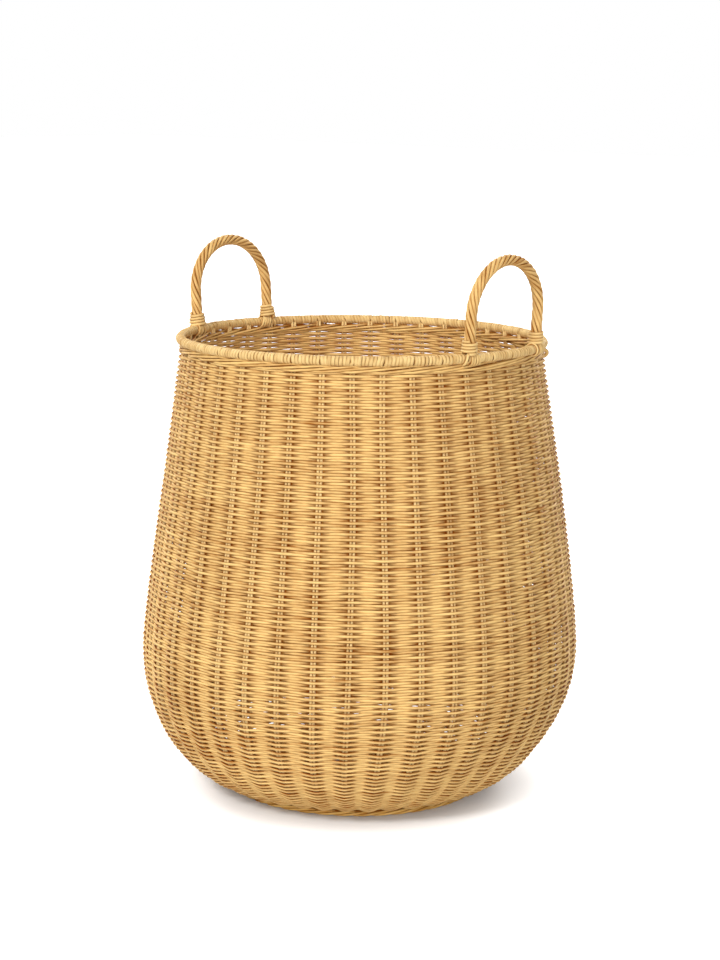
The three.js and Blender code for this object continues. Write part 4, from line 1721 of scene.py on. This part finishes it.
@dataclass
class Studio:
    """The camera, the lamps, the world and the floor.

    Attributes:
        azimuth, distance, height: Where the camera stands round, from and above the basket's middle.
        pitch, roll: How far it looks down, and how far it is tilted.
        focal_pixels, picture_height_pixels, sensor: The lens, in the photograph's pixels, and the sensor.
        clip: The nearest and furthest distance that it sees.
        lamps: The lamps.
        world_light: How strongly the world lights the basket.
        floor_size, floor_colour, floor_glow: The floor's size and colour, and how brightly it is seen.
        shadow_reach: How far from the basket the painted contact shadow in the floor's glow reaches.
    """

    azimuth: float = math.radians(38.8)
    distance: float = 2.3987
    height: float = 0.7454
    pitch: float = 0.1757
    roll: float = math.radians(0.74)
    focal_pixels: float = 2356.2
    picture_height_pixels: float = 960.0
    sensor: float = 36.0
    clip: tuple[float, float] = (0.05, 100.0)
    lamps: tuple[Lamp, ...] = (
        Lamp("key", turn=-30, elevation=40, spread=14, strength=1.75),
        Lamp("front", turn=3, elevation=13, spread=20, strength=1.22),
        Lamp("top", turn=0, elevation=76, spread=20, strength=0.3),
        Lamp("back_right", turn=148, elevation=28, spread=20, strength=1.4),
        Lamp("back_left", turn=-142, elevation=28, spread=20, strength=1.4),
    )
    world_light: float = 0.17
    floor_size: float = 30.0
    floor_colour: Colour = (0.75, 0.75, 0.75)
    floor_glow: float = 0.85
    shadow_reach: float = 40 * MM

    def _seen_white(self, nodes: Nodes) -> Socket:
        """Tells the rays that see the surroundings from those that light the basket.

        Args:
            nodes: The nodes of the world or of the floor's material.

        Returns:
            A socket: 1 for a ray straight from the camera, off gloss or through glass, and otherwise 0.
        """
        path = nodes.add("ShaderNodeLightPath").outputs
        direct = nodes.maths("MAXIMUM", path["Is Camera Ray"], path["Is Glossy Ray"])
        return nodes.maths("MAXIMUM", direct, path["Is Transmission Ray"])

    def _camera(self) -> None:
        """Sets the camera at the photograph's angle."""
        lens = bpy.data.cameras.new("camera")
        lens.sensor_width = self.sensor
        lens.lens = self.focal_pixels / self.picture_height_pixels * self.sensor
        lens.clip_start, lens.clip_end = self.clip
        camera = add_object("camera", lens)
        east, north = math.sin(self.azimuth), math.cos(self.azimuth)
        camera.location = (self.distance * east, -self.distance * north, self.height)
        level = Vector((-east, north, -math.tan(self.pitch)))
        camera.rotation_mode = "QUATERNION"
        camera.rotation_quaternion = level.to_track_quat("-Z", "Y") @ Quaternion((0, 0, 1), self.roll)
        bpy.context.scene.camera = camera

    def _world(self) -> None:
        """Lights all round evenly and shows white behind the basket."""
        world = bpy.data.worlds.new("studio")
        world.use_nodes = True
        bpy.context.scene.world = world
        nodes = Nodes(world.node_tree)
        strength = nodes.mapped(self._seen_white(nodes), (0.0, 1.0), (self.world_light, 1.0))
        background = world.node_tree.nodes["Background"]
        nodes.feed(background.inputs["Color"], (1.0, 1.0, 1.0, 1.0))
        nodes.feed(background.inputs["Strength"], strength)

    def _floor(self) -> None:
        """Lays the pale floor, which keeps the basket's shadow, with a painted contact shadow in its glow."""
        half = self.floor_size / 2
        mesh = bpy.data.meshes.new("floor")
        corners = [(-half, -half, 0), (half, -half, 0), (half, half, 0), (-half, half, 0)]
        mesh.from_pydata(corners, [], [(0, 1, 2, 3)])
        floor = add_object("floor", mesh)
        paint = bpy.data.materials.new("studio_floor")
        paint.use_nodes = True
        tree = paint.node_tree
        tree.nodes.remove(tree.nodes["Principled BSDF"])
        nodes = Nodes(tree)
        matt = nodes.add("ShaderNodeBsdfDiffuse", {"Color": (*self.floor_colour, 1.0)})
        # Painted shadow: the floor's glow is dimmed by ambient occlusion near the basket.
        painted_contact_shadow = nodes.add("ShaderNodeAmbientOcclusion", {"Distance": self.shadow_reach})
        seen = nodes.maths("MULTIPLY", self._seen_white(nodes), painted_contact_shadow.outputs["AO"])
        glow = nodes.add("ShaderNodeEmission", {"Strength": nodes.maths("MULTIPLY", seen, self.floor_glow)})
        both = nodes.add("ShaderNodeAddShader", {0: matt.outputs["BSDF"], 1: glow.outputs["Emission"]})
        nodes.feed(tree.nodes["Material Output"].inputs["Surface"], both.outputs["Shader"])
        mesh.materials.append(paint)

    def build(self) -> None:
        """Sets up the camera, the world, the lamps and the floor."""
        bpy.context.scene.view_settings.view_transform = "Standard"
        self._camera()
        self._world()
        for lamp in self.lamps:
            lamp.build(self.azimuth)
        self._floor()
        LOG.info("studio: camera, lamps, world and floor")


FINISHES = (
    # Painted light: the stakes are paler than the weavers, to stand bright in the shade of the rows over
    # them.
    Rattan(Slot.STAKE, pale=(0.97, 0.71, 0.32), deep=(0.34, 0.11, 0.012)),
    Rattan(Slot.WEAVE, pale=(0.94, 0.635, 0.245), deep=(0.27, 0.06, 0.003)),
    Rattan(Slot.WALE, pale=(0.94, 0.64, 0.245), deep=(0.28, 0.08, 0.01)),
    # Painted shade: the hoop is dark, so that the slits in the binding look shaded.
    Rattan(Slot.HOOP, pale=(0.40, 0.20, 0.06), deep=(0.20, 0.08, 0.02)),
    Rattan(Slot.BINDING, pale=(0.93, 0.655, 0.285), deep=(0.32, 0.12, 0.018), fibre_depth=0.35),
    # Painted light: the foot's colour is raised to lift it out of its shade near the floor.
    Rattan(Slot.FOOT, pale=(1.0, 0.64, 0.20), deep=(0.36, 0.12, 0.014)),
    Rattan(Slot.ROPE, pale=(0.96, 0.64, 0.25), deep=(0.30, 0.09, 0.01)),
    Rattan(Slot.WINDING, pale=(0.95, 0.68, 0.29), deep=(0.34, 0.11, 0.014)),
)
HOOKED_FAN = Fan(
    top=(-9.6 * MM, -3.0 * MM, 0.0, 2.7 * MM, 5.4 * MM),
    low=(-9.2 * MM, -1.6 * MM, 1.6 * MM, 4.8 * MM, 8.2 * MM),
    looped=True,
)


def main() -> None:
    """Builds the basket piece by piece around the frame."""
    logging.basicConfig(level=logging.INFO, format="%(name)s: %(message)s")
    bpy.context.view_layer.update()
    groups = {"fibres": fibre_group(), "age": age_group(), "tone": tone_group()}
    materials = {finish.slot: finish.material(groups) for finish in FINISHES}
    Studio().build()
    layout = Layout(WallLine())
    Stakes(layout).build(materials[Slot.STAKE])
    Weave(layout).build(materials[Slot.WEAVE])
    Wale(layout).build(materials[Slot.WALE])
    rim = Rim(layout)
    rim.build(materials[Slot.BINDING], materials[Slot.HOOP])
    Foot(layout.wall).build(materials[Slot.FOOT])
    front = Handle(rim, End.FRONT, lean=math.radians(3.0), rise=91.8 * MM)
    front.fans[Side.RIGHT] = HOOKED_FAN
    back = Handle(rim, End.BACK, lean=math.radians(4.3), rise=91.1 * MM, winding_foot_reach=7.9 * MM)
    for handle in (front, back):
        handle.build(materials[Slot.ROPE], materials[Slot.WINDING])


if __name__ == "__main__":
    main()
